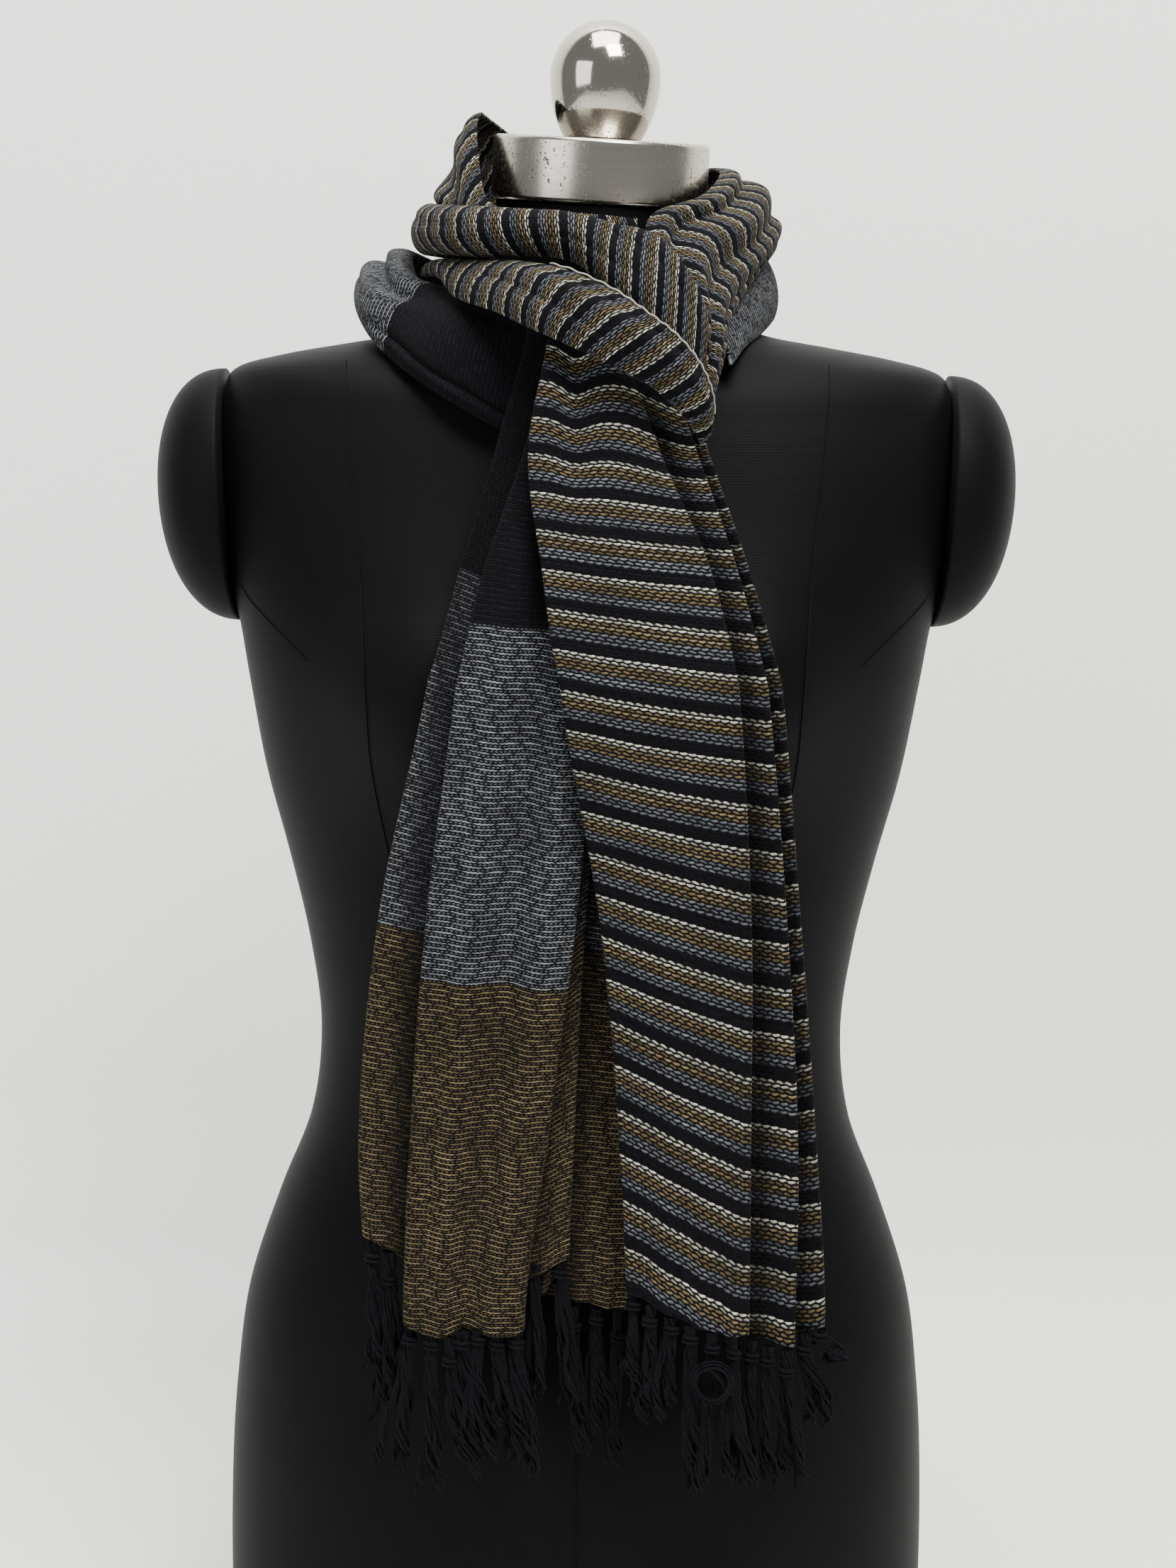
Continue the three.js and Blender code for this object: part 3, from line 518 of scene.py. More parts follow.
def tail_points(table, hang, rows, corner_points, panel_points):
    """A hanging end as a grid of points, and the share of its drop and its colour height at each.

    Each level section runs through the corners at its fold lines, and every
    corner is a quadratic curve between points a little way back along its two
    sides, so a fold turns in a small round and a bend is a long soft curve.
    """
    share = np.linspace(0, 1, rows)
    heights = np.array(TAIL_HEIGHTS, float)
    hang_rows = np.array(hang, float)
    corners, cuts, levels = [], [], []
    for row in table:
        fold = named(row, TAIL_COLUMNS)
        z = heights[0] + (fold["drop"] - heights[0]) * share
        places = np.interp(-z, -heights, np.arange(len(heights)) / (len(heights) - 1))
        x = rows_at([[fold[k]] for k in TAIL_COLUMNS[:7]], ("x",), places)["x"]
        y = np.interp(-z, -hang_rows[:, 0], hang_rows[:, 1])
        stack = np.interp(-z, -hang_rows[:, 0], hang_rows[:, 2])
        bend = fold["before"] == fold["after"]
        block = fold["block"] - z
        for out in (fold["before"],) if bend else (fold["before"], fold["after"]):
            corners.append(np.stack([x, y - out * stack, z], -1))
            cuts.append(12.0 if bend else 1.6)
            levels.append(block)
    corners = np.stack(corners, 1)
    levels = np.stack(levels, 1)
    f = np.linspace(0, 1, corner_points)[None, :, None]
    g = np.linspace(0, 1, panel_points + 2)[1:-1][None, :, None]
    points, blocks = [corners[:, :1]], [levels[:, :1]]

    def cut_back(k, other):
        side = corners[:, other] - corners[:, k]
        length = np.linalg.norm(side, axis=-1, keepdims=True)
        part = np.minimum(cuts[k] / np.maximum(length, 1e-6), 0.46)
        return corners[:, k] + side * part, levels[:, k] + (levels[:, other] - levels[:, k]) * part[:, 0]

    for k in range(1, corners.shape[1]):
        last = k == corners.shape[1] - 1
        start, start_level = (corners[:, k], levels[:, k]) if last else cut_back(k, k - 1)
        previous, previous_level = points[-1][:, -1], blocks[-1][:, -1]
        points.append(previous[:, None] + (start - previous)[:, None] * g)
        blocks.append(previous_level[:, None] + (start_level - previous_level)[:, None] * g[..., 0])
        if last:
            points.append(start[:, None])
            blocks.append(start_level[:, None])
            break
        end, end_level = cut_back(k, k + 1)
        middle = corners[:, k]
        curve = start[:, None] * (1 - f) ** 2 + 2 * middle[:, None] * f * (1 - f) + end[:, None] * f**2
        points.append(curve)
        blocks.append(start_level[:, None] + (end_level - start_level)[:, None] * f[..., 0])
    return np.concatenate(points, 1), np.concatenate(blocks, 1), share


def painted_groove_shade(points, reach=14.0, depth=5.5):
    """How deep each point of a hanging end lies in a groove, from 0 to 1, kept as painted shade that darkens the
    cloth's colour there.

    At point i it is the greatest over points j of the same row of
    (y_i - y_j) / depth * max(0, 1 - |x_i - x_j| / reach), because -Y is the front.
    """
    x, y = points[..., 0], points[..., 1]
    near = np.clip(1 - np.abs(x[:, :, None] - x[:, None, :]) / reach, 0, 1)
    behind = (y[:, :, None] - y[:, None, :]) / depth * near
    return np.clip(behind.max(axis=2), 0, 1)


def tubes(paths, radius, sides=5):
    """Round strands along many paths at once: points and faces.

    Each path is carried by a ring of points at its radius, square to the path.
    """
    paths = np.asarray(paths, float)
    count, steps = paths.shape[:2]
    along = unit(np.gradient(paths, axis=1))
    side = unit(np.cross(along, np.array([0.3, 1.0, 0.2])))
    other = np.cross(along, side)
    angle = 2 * np.pi * np.arange(sides) / sides
    ring = side[:, :, None] * np.cos(angle)[:, None] + other[:, :, None] * np.sin(angle)[:, None]
    radius = np.broadcast_to(np.asarray(radius, float), (count, steps))
    points = paths[:, :, None] + ring * radius[:, :, None, None]
    faces = grid_faces(steps, sides, close_columns=True)
    one = steps * sides
    faces = (faces[None] + one * np.arange(count)[:, None, None]).reshape(-1, 4)
    return points.reshape(-1, 3), faces


def turned_points(profile, segments):
    """A turned shape: each (radius, height) of the profile carried round the Z axis."""
    profile = np.array(profile, float)
    angle = 2 * np.pi * np.arange(segments) / segments
    ring = np.stack([np.cos(angle), np.sin(angle)], -1)
    xy = profile[:, 0, None, None] * ring
    z = np.broadcast_to(profile[:, 1, None, None], xy.shape[:2] + (1,))
    return np.concatenate([xy, z], -1)


def on_neck(points, lift):
    """Stands points on the neck's slanted top face, lifted along its normal."""
    pitch, turn = math.atan(LEAN_FRONT), math.atan(LEAN_RIGHT)
    cp, sp, ct, st = math.cos(pitch), math.sin(pitch), math.cos(turn), math.sin(turn)
    about_x = np.array([[1, 0, 0], [0, cp, -sp], [0, sp, cp]])
    about_y = np.array([[ct, 0, st], [0, 1, 0], [-st, 0, ct]])
    turned = (points + np.array([0, 0, lift])) @ (about_x @ about_y).T
    return turned + np.array([NECK_X, NECK_Y, NECK_TOP])


def armhole_x(z):
    """Half width of the torso at the armhole face."""
    return ARMHOLE_X + ARMHOLE_FLARE * (z - ARMHOLE_LOW)


def torso_points(rows, sides):
    """The torso as rings: a superellipse between half width and depth at each height.

    The armhole face cuts it flat, the bust adds two Gaussian swells to the
    front, and the top ring lies on the neck's slant.
    """
    t = np.linspace(0, 1, rows)
    row = {k: v[:, None] for k, v in rows_at(TORSO, TORSO_COLUMNS, t).items()}
    z = row["z"]
    neck = smooth((z - 640) / 50)
    slant = smooth((z - 690) / (NECK_TOP - 690))
    power = 2 / (TORSO_SQUARE + (2 - TORSO_SQUARE) * neck)
    angle = (2 * np.pi * np.arange(sides) / sides - np.pi / 2)[None, :]
    c, s = np.cos(angle), np.sin(angle)
    x = row["half"] * np.sign(c) * np.abs(c) ** power
    y = np.where(s < 0, row["front"], row["back"]) * np.sign(s) * np.abs(s) ** power
    flat = (z > ARMHOLE_LOW) & (z < ARMHOLE_HIGH + 2)
    x = np.where(flat, np.clip(x, -armhole_x(z), armhole_x(z)), x)
    swell = np.exp(-(((np.abs(x) - BUST["x"]) / BUST["across"]) ** 2) - ((z - BUST["z"]) / BUST["up"]) ** 2)
    y = y - np.where(s < 0, BUST["out"] * swell * np.minimum(1, -2 * s), 0)
    x = x + NECK_X * neck
    fall = slant * (LEAN_RIGHT * (x - NECK_X) - LEAN_FRONT * (y - NECK_Y))
    return np.stack([x, y, z - fall], -1)


def capped(points, first_flat=True, last_flat=True):
    """Rings with a small ring at each end drawn in to its middle, so that the ends are closed."""
    rings = [points]
    if first_flat:
        rings.insert(0, np.repeat(points[:1].mean(1, keepdims=True), points.shape[1], 1))
    if last_flat:
        rings.append(np.repeat(points[-1:].mean(1, keepdims=True), points.shape[1], 1))
    return np.concatenate(rings, 0)


def merged(piece):
    """Merges points that lie on each other, so that seams and poles are closed, and faces point out."""
    import bmesh

    shape = bmesh.new()
    shape.from_mesh(piece.data)
    bmesh.ops.remove_doubles(shape, verts=shape.verts, dist=1e-6)
    bmesh.ops.dissolve_degenerate(shape, edges=shape.edges, dist=1e-7)
    bmesh.ops.recalc_face_normals(shape, faces=shape.faces)
    shape.to_mesh(piece.data)
    shape.free()
    return piece


# ------------------------------------------------------------------ materials


class Shader:
    """A material's node tree, with short calls to add nodes and join them."""

    def __init__(self, name):
        self.material = bpy.data.materials.new(name)
        self.material.use_nodes = True
        self.tree = self.material.node_tree
        self.surface = self.tree.nodes["Principled BSDF"]

    def node(self, kind, **inputs):
        """Adds a node and fills its sockets by name, with a value or another socket."""
        node = self.tree.nodes.new(kind)
        for name, value in inputs.items():
            self.put(node.inputs[name.replace("_", " ")], value)
        return node

    def put(self, socket, value):
        if isinstance(value, bpy.types.NodeSocket):
            self.tree.links.new(value, socket)
        else:
            socket.default_value = value

    def math(self, operation, *values):
        node = self.tree.nodes.new("ShaderNodeMath")
        node.operation = operation
        for socket, value in zip(node.inputs, values):
            self.put(socket, value)
        return node.outputs[0]

    def span(self, value, low, high, start=0.0, end=1.0):
        """A soft step of value from start to end between low and high."""
        node = self.tree.nodes.new("ShaderNodeMapRange")
        node.interpolation_type = "SMOOTHSTEP"
        for socket, number in zip(node.inputs, (value, low, high, start, end)):
            self.put(socket, number)
        return node.outputs[0]

    def blend(self, share, first, second, kind="MIX"):
        node = self.tree.nodes.new("ShaderNodeMix")
        node.data_type = "RGBA"
        node.blend_type = kind
        self.put(node.inputs[0], share)
        self.put(node.inputs[6], first)
        self.put(node.inputs[7], second)
        return node.outputs[2]

    def noise(self, vector, scale, detail=2.0):
        node = self.tree.nodes.new("ShaderNodeTexNoise")
        self.put(node.inputs["Vector"], vector)
        node.inputs["Scale"].default_value = scale
        node.inputs["Detail"].default_value = detail
        return node.outputs["Fac"]

    def steps(self, place, stops):
        """A colour for each stretch of place, given as (start, colour)."""
        node = self.tree.nodes.new("ShaderNodeValToRGB")
        ramp = node.color_ramp
        ramp.interpolation = "CONSTANT"
        ramp.elements[0].position, ramp.elements[0].color = stops[0][0], rgba(stops[0][1])
        ramp.elements[1].position, ramp.elements[1].color = stops[1][0], rgba(stops[1][1])
        for start, colour in stops[2:]:
            ramp.elements.new(start).color = rgba(colour)
        self.put(node.inputs[0], place)
        return node.outputs[0]

    def bump(self, height, distance, strength, normal=None):
        node = self.tree.nodes.new("ShaderNodeBump")
        node.inputs["Strength"].default_value = strength
        node.inputs["Distance"].default_value = distance
        self.put(node.inputs["Height"], height)
        if normal:
            self.put(node.inputs["Normal"], normal)
        return node.outputs[0]

    def finish(self, **values):
        for name, value in values.items():
            self.put(self.surface.inputs[name.replace("_", " ")], value)
        return self.material


def rgba(colour):
    return (*tuple(colour)[:3], 1.0)


def scaled(colour, factor):
    """A colour made darker or lighter."""
    return tuple(min(1.0, c * factor) for c in tuple(colour)[:3])


def weave(name, repeat, stops, pick, line_float, line_cover, dot_float, dot_cover, dot_tone, scatter):
    """Wool cloth: weft yarns over a black warp, in rows across the cloth.

    The UV's second number runs along the cloth, so row i is the whole part of
    along / pick. Even rows are long wavy floats and odd rows are short ones, set
    half a float over. A row's colour comes from where it lies in the repeat.
    """
    colours = bpy.context.scene.stole_colours
    shader = Shader(name)
    uv = shader.tree.nodes.new("ShaderNodeUVMap")
    uv.uv_map = "cloth"
    split = shader.tree.nodes.new("ShaderNodeSeparateXYZ")
    shader.put(split.inputs[0], uv.outputs[0])
    across, along = split.outputs[0], split.outputs[1]
    sway = shader.noise(uv.outputs[0], 26.0)
    along = shader.math("ADD", along, shader.math("MULTIPLY", shader.math("SUBTRACT", sway, 0.5), 1.4 * MM))
    place = shader.math("DIVIDE", along, pick)
    row = shader.math("FLOOR", place)
    odd = shader.math("PINGPONG", row, 1.0)
    jitter = shader.tree.nodes.new("ShaderNodeTexWhiteNoise")
    jitter.noise_dimensions = "1D"
    shader.put(jitter.inputs["W"], row)
    shift = shader.math("ADD", shader.math("MULTIPLY", odd, 0.5), shader.math("MULTIPLY", jitter.outputs[0], scatter))
    # A float is a long bead: its outline is an ellipse, and its crown rises within it.
    wave = shader.math("SINE", shader.math("MULTIPLY", across, 2 * math.pi / dot_float))
    place = shader.math("ADD", place, shader.math("MULTIPLY", wave, 0.10))
    level = shader.math("DIVIDE", shader.math("SUBTRACT", shader.math("FRACT", place), 0.5), 0.34)
    level = shader.math("MULTIPLY", level, level)
    crowns = []
    for length, cover in ((line_float, line_cover), (dot_float, dot_cover)):
        g = shader.math("FRACT", shader.math("ADD", shader.math("DIVIDE", across, length), shift))
        g = shader.math("DIVIDE", shader.math("SUBTRACT", g, 0.5), cover)
        g = shader.math("POWER", shader.math("ABSOLUTE", g), 2.6)
        crowns.append(shader.math("SUBTRACT", 1.0, shader.math("ADD", g, level)))
    crown = shader.math("ADD", shader.math("MULTIPLY", crowns[0], shader.math("SUBTRACT", 1.0, odd)),
                        shader.math("MULTIPLY", crowns[1], odd))
    crown = shader.math("MAXIMUM", crown, 0.0)
    shown = shader.span(crown, 0.0, 0.28)
    shown = shader.math("MAXIMUM", shown, shader.math("MULTIPLY", shader.span(level, 0.0, 1.0, 1.0, 0.0), 0.12))
    spot = shader.math("FRACT", shader.math("DIVIDE", shader.math("MULTIPLY", shader.math("ADD", row, 0.5), pick), repeat))
    colour = shader.steps(spot, stops)
    cell = shader.noise(uv.outputs[0], 420.0, 1.0)
    patch = shader.noise(uv.outputs[0], 45.0, 3.0)
    tone = shader.math("MULTIPLY", shader.span(cell, 0.3, 0.7, 0.62, 1.35), shader.span(patch, 0.3, 0.7, 0.8, 1.18))
    tone = shader.math("MULTIPLY", tone, shader.math("SUBTRACT", 1.12, shader.math("MULTIPLY", odd, 1.12 - dot_tone)))
    tone = shader.math("MULTIPLY", tone, shader.math("ADD", 0.82, shader.math("MULTIPLY", jitter.outputs[0], 0.36)))
    # Painted shade: the colour is darkened where a hanging end lies deep in the groove of a fold.
    groove_shade = shader.tree.nodes.new("ShaderNodeAttribute")
    groove_shade.attribute_name = "groove_shade"
    tone = shader.math("MULTIPLY", tone, shader.math("SUBTRACT", 1.08, shader.math("MULTIPLY", groove_shade.outputs["Fac"], 0.8)))
    grey = shader.node("ShaderNodeCombineXYZ", X=tone, Y=tone, Z=tone).outputs[0]
    colour = shader.blend(1.0, colour, grey, "MULTIPLY")
    base = shader.blend(shown, rgba(colours.black), colour)
    rib = shader.math("SINE", shader.math("MULTIPLY", across, 2 * math.pi / (1.25 * MM)))
    ground = shader.math("MULTIPLY", shader.math("ADD", rib, 1.0), 0.14)
    height = shader.math("MAXIMUM", shader.math("POWER", crown, 0.6), ground)
    normal = shader.bump(height, 0.7 * MM, 0.75)
    return shader.finish(
        Base_Color=base, Normal=normal, Roughness=0.92, Specular_IOR_Level=0.05,
        Sheen_Weight=0.01, Sheen_Roughness=0.55, Sheen_Tint=(0.75, 0.75, 0.78, 1.0),
    )


def stripe_stops(colours):
    """One repeat of the narrow stripes, in shares of its length."""
    return (
        (0.0, colours.black),
        (0.27, scaled(colours.slate, 0.85)),
        (0.36, scaled(colours.slate, 1.15)),
        (0.45, colours.slate),
        (0.54, scaled(colours.ochre, 0.85)),
        (0.63, scaled(colours.ochre, 1.2)),
        (0.72, colours.ochre),
        (0.81, scaled(colours.cream, 0.85)),
        (0.905, scaled(colours.cream, 1.1)),
    )


def striped_cloth():
    """The finely striped part of the stole."""
    sizes, colours = bpy.context.scene.stole_sizes, bpy.context.scene.stole_colours
    repeat = sizes.stripe_repeat
    return weave("stole_stripes", repeat, stripe_stops(colours), repeat / 11, 3.6 * MM, 0.45, 3.6 * MM, 0.39, 0.85, 0.15)


def block_cloth(name, stops):
    """The part of the stole in broad blocks, whose stops are along 1 metre of cloth."""
    return weave(name, 1.0, stops, bpy.context.scene.stole_sizes.pick, 9.5 * MM, 0.488, 1.9 * MM, 0.31, 0.5, 1.0)


def jersey():
    """Charcoal jersey: fine level ribs, a soft uneven tone and a slight sheen."""
    colours = bpy.context.scene.stole_colours
    shader = Shader("form_jersey")
    place = shader.tree.nodes.new("ShaderNodeTexCoord").outputs["Object"]
    split = shader.tree.nodes.new("ShaderNodeSeparateXYZ")
    shader.put(split.inputs[0], place)
    rib = shader.math("SINE", shader.math("MULTIPLY", split.outputs[2], 2 * math.pi / (1.1 * MM)))
    loop = shader.noise(place, 900.0, 1.0)
    height = shader.math("ADD", shader.math("MULTIPLY", rib, 0.5), shader.math("MULTIPLY", loop, 0.6))
    cloud = shader.noise(place, 9.0, 3.0)
    base = shader.blend(shader.span(cloud, 0.35, 0.7), rgba(scaled(colours.jersey, 0.85)), rgba(scaled(colours.jersey, 1.2)))
    return shader.finish(
        Base_Color=base, Normal=shader.bump(height, 0.08 * MM, 0.3), Roughness=0.58,
        Specular_IOR_Level=0.055, Sheen_Weight=0.004, Sheen_Roughness=0.4,
    )


def steel(name, roughness, pits):
    """Polished steel with faint turning lines and small dark pits."""
    colours = bpy.context.scene.stole_colours
    shader = Shader(name)
    place = shader.tree.nodes.new("ShaderNodeTexCoord").outputs["Object"]
    stretch = shader.tree.nodes.new("ShaderNodeMapping")
    shader.put(stretch.inputs["Vector"], place)
    stretch.inputs["Scale"].default_value = (18, 18, 900)
    lines = shader.noise(stretch.outputs[0], 1.0, 3.0)
    speck = shader.noise(place, 700.0, 2.0)
    zone = shader.noise(place, 22.0, 2.0)
    pit = shader.math("MULTIPLY", shader.span(speck, 0.60, 0.68), shader.span(zone, 0.42, 0.58))
    pit = shader.math("MULTIPLY", pit, pits)
    stain = shader.math("MULTIPLY", shader.span(shader.noise(place, 40.0, 4.0), 0.5, 0.8), 0.25 * pits)
    base = shader.blend(pit, rgba(colours.steel), (0.10, 0.07, 0.045, 1.0))
    base = shader.blend(stain, base, (0.42, 0.36, 0.28, 1.0))
    gloss = shader.math("ADD", shader.span(lines, 0.3, 0.7, roughness * 0.92, roughness * 1.08), shader.math("MULTIPLY", pit, 0.4))
    height = shader.math("SUBTRACT", shader.math("MULTIPLY", lines, 0.05), pit)
    return shader.finish(
        Base_Color=base, Metallic=1.0, Roughness=gloss, Normal=shader.bump(height, 0.15 * MM, 0.35),
    )


def tassel_wool():
    """Black wool yarn in random fibre flecks, whose lighter flecks are painted highlights."""
    colours = bpy.context.scene.stole_colours
    shader = Shader("stole_fringe")
    place = shader.tree.nodes.new("ShaderNodeTexCoord").outputs["Object"]
    fibre = shader.noise(place, 900.0, 2.0)
    # The fibre noise gives a random tone, and its lighter flecks are painted highlights on the black yarn.
    base = shader.blend(fibre, rgba(scaled(colours.black, 0.4)), rgba(scaled(colours.black, 2.4)))
    return shader.finish(
        Base_Color=base, Roughness=0.95, Normal=shader.bump(fibre, 0.3 * MM, 0.6),
        Sheen_Weight=0.015, Sheen_Roughness=0.4, Specular_IOR_Level=0.05,
    )


def plain_wool(name, colour):
    """One plain yarn."""
    shader = Shader(name)
    fibre = shader.noise(shader.tree.nodes.new("ShaderNodeTexCoord").outputs["Object"], 700.0)
    base = shader.blend(fibre, rgba(scaled(colour, 0.7)), rgba(scaled(colour, 1.3)))
    return shader.finish(Base_Color=base, Roughness=0.9, Specular_IOR_Level=0.1)


def pale_finish(name, colour):
    """The studio's matt wall and floor, which is clear when it is seen from behind."""
    shader = Shader(name)
    place = shader.tree.nodes.new("ShaderNodeTexCoord").outputs["Object"]
    grain = shader.noise(place, 260.0, 3.0)
    base = shader.blend(grain, rgba(scaled(colour, 0.97)), rgba(scaled(colour, 1.02)))
    material = shader.finish(Base_Color=base, Roughness=0.95, Specular_IOR_Level=0.1)
    nodes, links = shader.tree.nodes, shader.tree.links
    output = next(n for n in nodes if n.type == "OUTPUT_MATERIAL")
    front = output.inputs["Surface"].links[0].from_socket
    mix = nodes.new("ShaderNodeMixShader")
    links.new(mix.inputs[0], nodes.new("ShaderNodeNewGeometry").outputs["Backfacing"])
    links.new(mix.inputs[1], front)
    links.new(mix.inputs[2], nodes.new("ShaderNodeBsdfTransparent").outputs[0])
    links.new(output.inputs["Surface"], mix.outputs[0])
    return material


# ------------------------------------------------------------------ operators


class Maker(bpy.types.Operator):
    """An operator base that registers and undoes as one step; the operators here don't use it."""

    bl_options = {"REGISTER", "UNDO"}
    bl_idname = "stole.maker"
    bl_label = "Maker"


def front_y(x, z):
    """Depth of the torso's front at x and z, by the same formula as its rings."""
    t = np.linspace(0, 1, 2000)
    heights = rows_at(TORSO, TORSO_COLUMNS, t)["z"]
    row = rows_at(TORSO, TORSO_COLUMNS, np.interp(z, heights, t))
    power = 2 / TORSO_SQUARE
    c = np.clip(np.abs(x) / row["half"], 0, 1) ** (1 / power)
    s = np.sqrt(1 - c**2)
    swell = np.exp(-(((np.abs(x) - BUST["x"]) / BUST["across"]) ** 2) - ((z - BUST["z"]) / BUST["up"]) ** 2)
    return -row["front"] * s**power - BUST["out"] * swell * np.minimum(1, 2 * s)


class STOLE_OT_form(bpy.types.Operator):
    """Make the jersey-covered torso, its seams and its shoulder caps"""

    bl_idname = "stole.form"
    bl_label = "Dress form"
    bl_options = {"REGISTER", "UNDO"}

    def execute(self, context):
        finish = jersey()
        points = capped(torso_points(260, 280))
        faces = grid_faces(points.shape[0], points.shape[1], close_columns=True)
        torso = merged(mesh_object("form_torso", points, faces, material=finish))
        settle(torso, "form_jersey", "torso")
        for name, side, route in [(n, k, r) for n, r in SEAMS.items() for k in ((-1, 1) if r[0][0] else (1,))]:
            seam = mesh_object("form_%s_%s" % (name, "left" if side < 0 else "right"), *self.seam(side, route), material=finish)
            settle(seam, "form_jersey", "torso")
        for name, side in (("left", -1), ("right", 1)):
            cap = merged(mesh_object("form_shoulder_" + name, *self.shoulder(side), material=finish))
            settle(cap, "form_jersey", "shoulder_cap_" + name)
        return {"FINISHED"}

    @staticmethod
    def seam(side, route, steps=160):
        """A raised seam: a tube along a route over the torso's front, half sunk in it."""
        route = rows_at(route, ("x", "z"), np.linspace(0, 1, steps))
        x, z = side * route["x"], route["z"]
        return tubes(np.stack([x, front_y(x, z) - 0.1, z], -1)[None], 0.45, 8)

    @staticmethod
    def shoulder(side, steps=40, sides=96):
        """A dome on the leaning armhole face: an ellipse that shrinks by a power of the cosine."""
        middle, height = (ARMHOLE_LOW + ARMHOLE_HIGH) / 2, (ARMHOLE_HIGH - ARMHOLE_LOW) / 2
        turn = (np.arange(steps) / (steps - 1) * np.pi / 2)[:, None]
        rise, spread = np.sin(turn) ** SHOULDER_ROUND, np.maximum(np.cos(turn), 0) ** SHOULDER_ROUND
        angle = (2 * np.pi * np.arange(sides) / sides)[None, :]
        y = SHOULDER_DEPTH * spread * np.cos(angle)
        z = middle + height * spread * np.sin(angle)
        x = side * (armhole_x(z) + SEAT_GAP + SHOULDER_OUT * rise)
        points = capped(np.stack([x, y, z], -1))
        return points, grid_faces(points.shape[0], sides, close_columns=True)


class STOLE_OT_neck_steel(bpy.types.Operator):
    """Make the steel neck cap and the ball on it"""

    bl_idname = "stole.neck_steel"
    bl_label = "Neck cap and ball"
    bl_options = {"REGISTER", "UNDO"}

    def execute(self, context):
        cap = merged(mesh_object("steel_cap", *self.turned(self.cap_profile(), SEAT_GAP), material=steel("neck_cap_steel", 0.24, 1.0)))
        settle(cap, "neck_steel", "neck_cap")
        lift = 2 * SEAT_GAP + CAP_HEIGHT
        ball = merged(mesh_object("steel_ball", *self.turned(self.ball_profile(), lift), material=steel("neck_ball_steel", 0.1, 0.35)))
        settle(ball, "neck_steel", "neck_ball")
        return {"FINISHED"}

    @staticmethod
    def turned(profile, lift):
        points = on_neck(turned_points(profile, 160), lift)
        return points, grid_faces(points.shape[0], points.shape[1], close_columns=True)

    @staticmethod
    def cap_profile():
        """A disc whose two rims are quarter rounds."""
        r, h, e = CAP_RADIUS, CAP_HEIGHT, CAP_EDGE
        a = np.linspace(0, np.pi / 2, 9)
        low = [(r - e + e * math.sin(k), e - e * math.cos(k)) for k in a]
        high = [(r - e + e * math.cos(k), h - e + e * math.sin(k)) for k in a]
        return [(0, 0), *low, *high, (0, h)]

    @staticmethod
    def ball_profile():
        """Half a sphere above the widest ring, and a longer half below it that the foot cuts off."""
        centre = BALL_HEIGHT - BALL_RADIUS
        reach = centre / math.sqrt(1 - (BALL_FOOT_RADIUS / BALL_RADIUS) ** 2)
        low = math.asin(centre / reach) * (1 - np.linspace(0, 1, 30))
        high = np.linspace(0, np.pi / 2, 40)[1:]
        lower = np.stack([BALL_RADIUS * np.cos(low), centre - reach * np.sin(low)], -1)
        upper = np.stack([BALL_RADIUS * np.cos(high), centre + BALL_RADIUS * np.sin(high)], -1)
        return np.concatenate([[(0, 0)], lower, upper])


def make_band(name, table, folds, rows, columns, material, slot, nodes, slant=0.0, start=0.0, gather=1.0):
    """A band of cloth as one piece.

    Slant tilts its stripes, start is where they begin, and gather draws them closer together.
    """
    points = band_points(table, folds, rows, columns)
    uv = cloth_uv(points, columns // 2)
    uv[..., 1] = gather * (uv[..., 1] + slant * uv[..., 0]) + start
    piece = mesh_object(name, points, grid_faces(rows, columns), uv, material)
    add_wall(piece, bpy.context.scene.stole_sizes.thickness)
    return settle(piece, slot, *nodes)


class STOLE_OT_neck(bpy.types.Operator):
    """Make the striped turns of the stole round the neck"""

    bl_idname = "stole.neck"
    bl_label = "Neck turns"
    bl_options = {"REGISTER", "UNDO"}

    def execute(self, context):
        stripes = striped_cloth()
        wrap = make_band(
            "stole_neck_wrap", NECK_WRAP, NECK_WRAP_FOLDS, 420, 90, stripes, "stole_stripes",
            ("neck_folds_right", "neck_wrap_back", "neck_roll_front"), gather=1.4,
        )
        collar = make_band(
            "stole_collar", COLLAR, COLLAR_FOLDS, 220, 50, stripes, "stole_stripes", ("neck_collar",),
            slant=0.3, gather=1.5,
        )
        loop = make_band(
            "stole_loop", LOOP, LOOP_FOLDS, 200, 60, stripes, "stole_stripes", ("loop_band",),
            slant=0.35, start=0.004, gather=1.35,
        )
        self.selvedge(LOOP, LOOP_FOLDS)
        return {"FINISHED"}


    @staticmethod
    def selvedge(table, folds):
        """The cream edge thread: a tube along the loop just inside its upper edge, lifted off it."""
        points = band_points(table, folds, 201, 61)
        normal = unit(np.cross(np.gradient(points, axis=0), np.gradient(points, axis=1)))
        column = 3
        path = points[74:192, column] - 1.5 * normal[74:192, column] * np.sign(normal[120, column, 1])
        path = path + 0.25 * np.sin(np.arange(len(path)) * 0.9)[:, None] * np.array([0.3, 0, 1])
        material = plain_wool("stole_edge_thread", bpy.context.scene.stole_colours.cream)
        thread = mesh_object("stole_edge_thread", *tubes(path[None], 0.4, 8), material=material)
        settle(thread, "stole_stripes", "loop_band")


class STOLE_OT_shoulder_band(bpy.types.Operator):
    """Make the outer turn of the stole over the shoulders, black and grey"""

    bl_idname = "stole.shoulder_band"
    bl_label = "Shoulder turn"
    bl_options = {"REGISTER", "UNDO"}

    def execute(self, context):
        colours = context.scene.stole_colours
        stops = ((0.0, scaled(colours.black, 1.5)), (0.086, colours.grey))
        cloth = block_cloth("stole_black_grey", stops)
        band = make_band(
            "stole_shoulder_band", SHOULDER_BAND, SHOULDER_BAND_FOLDS, 420, 80, cloth, "stole_blocks",
            ("shoulder_band_left", "shoulder_band_back", "shoulder_band_right"), slant=0.1,
        )
        return {"FINISHED"}


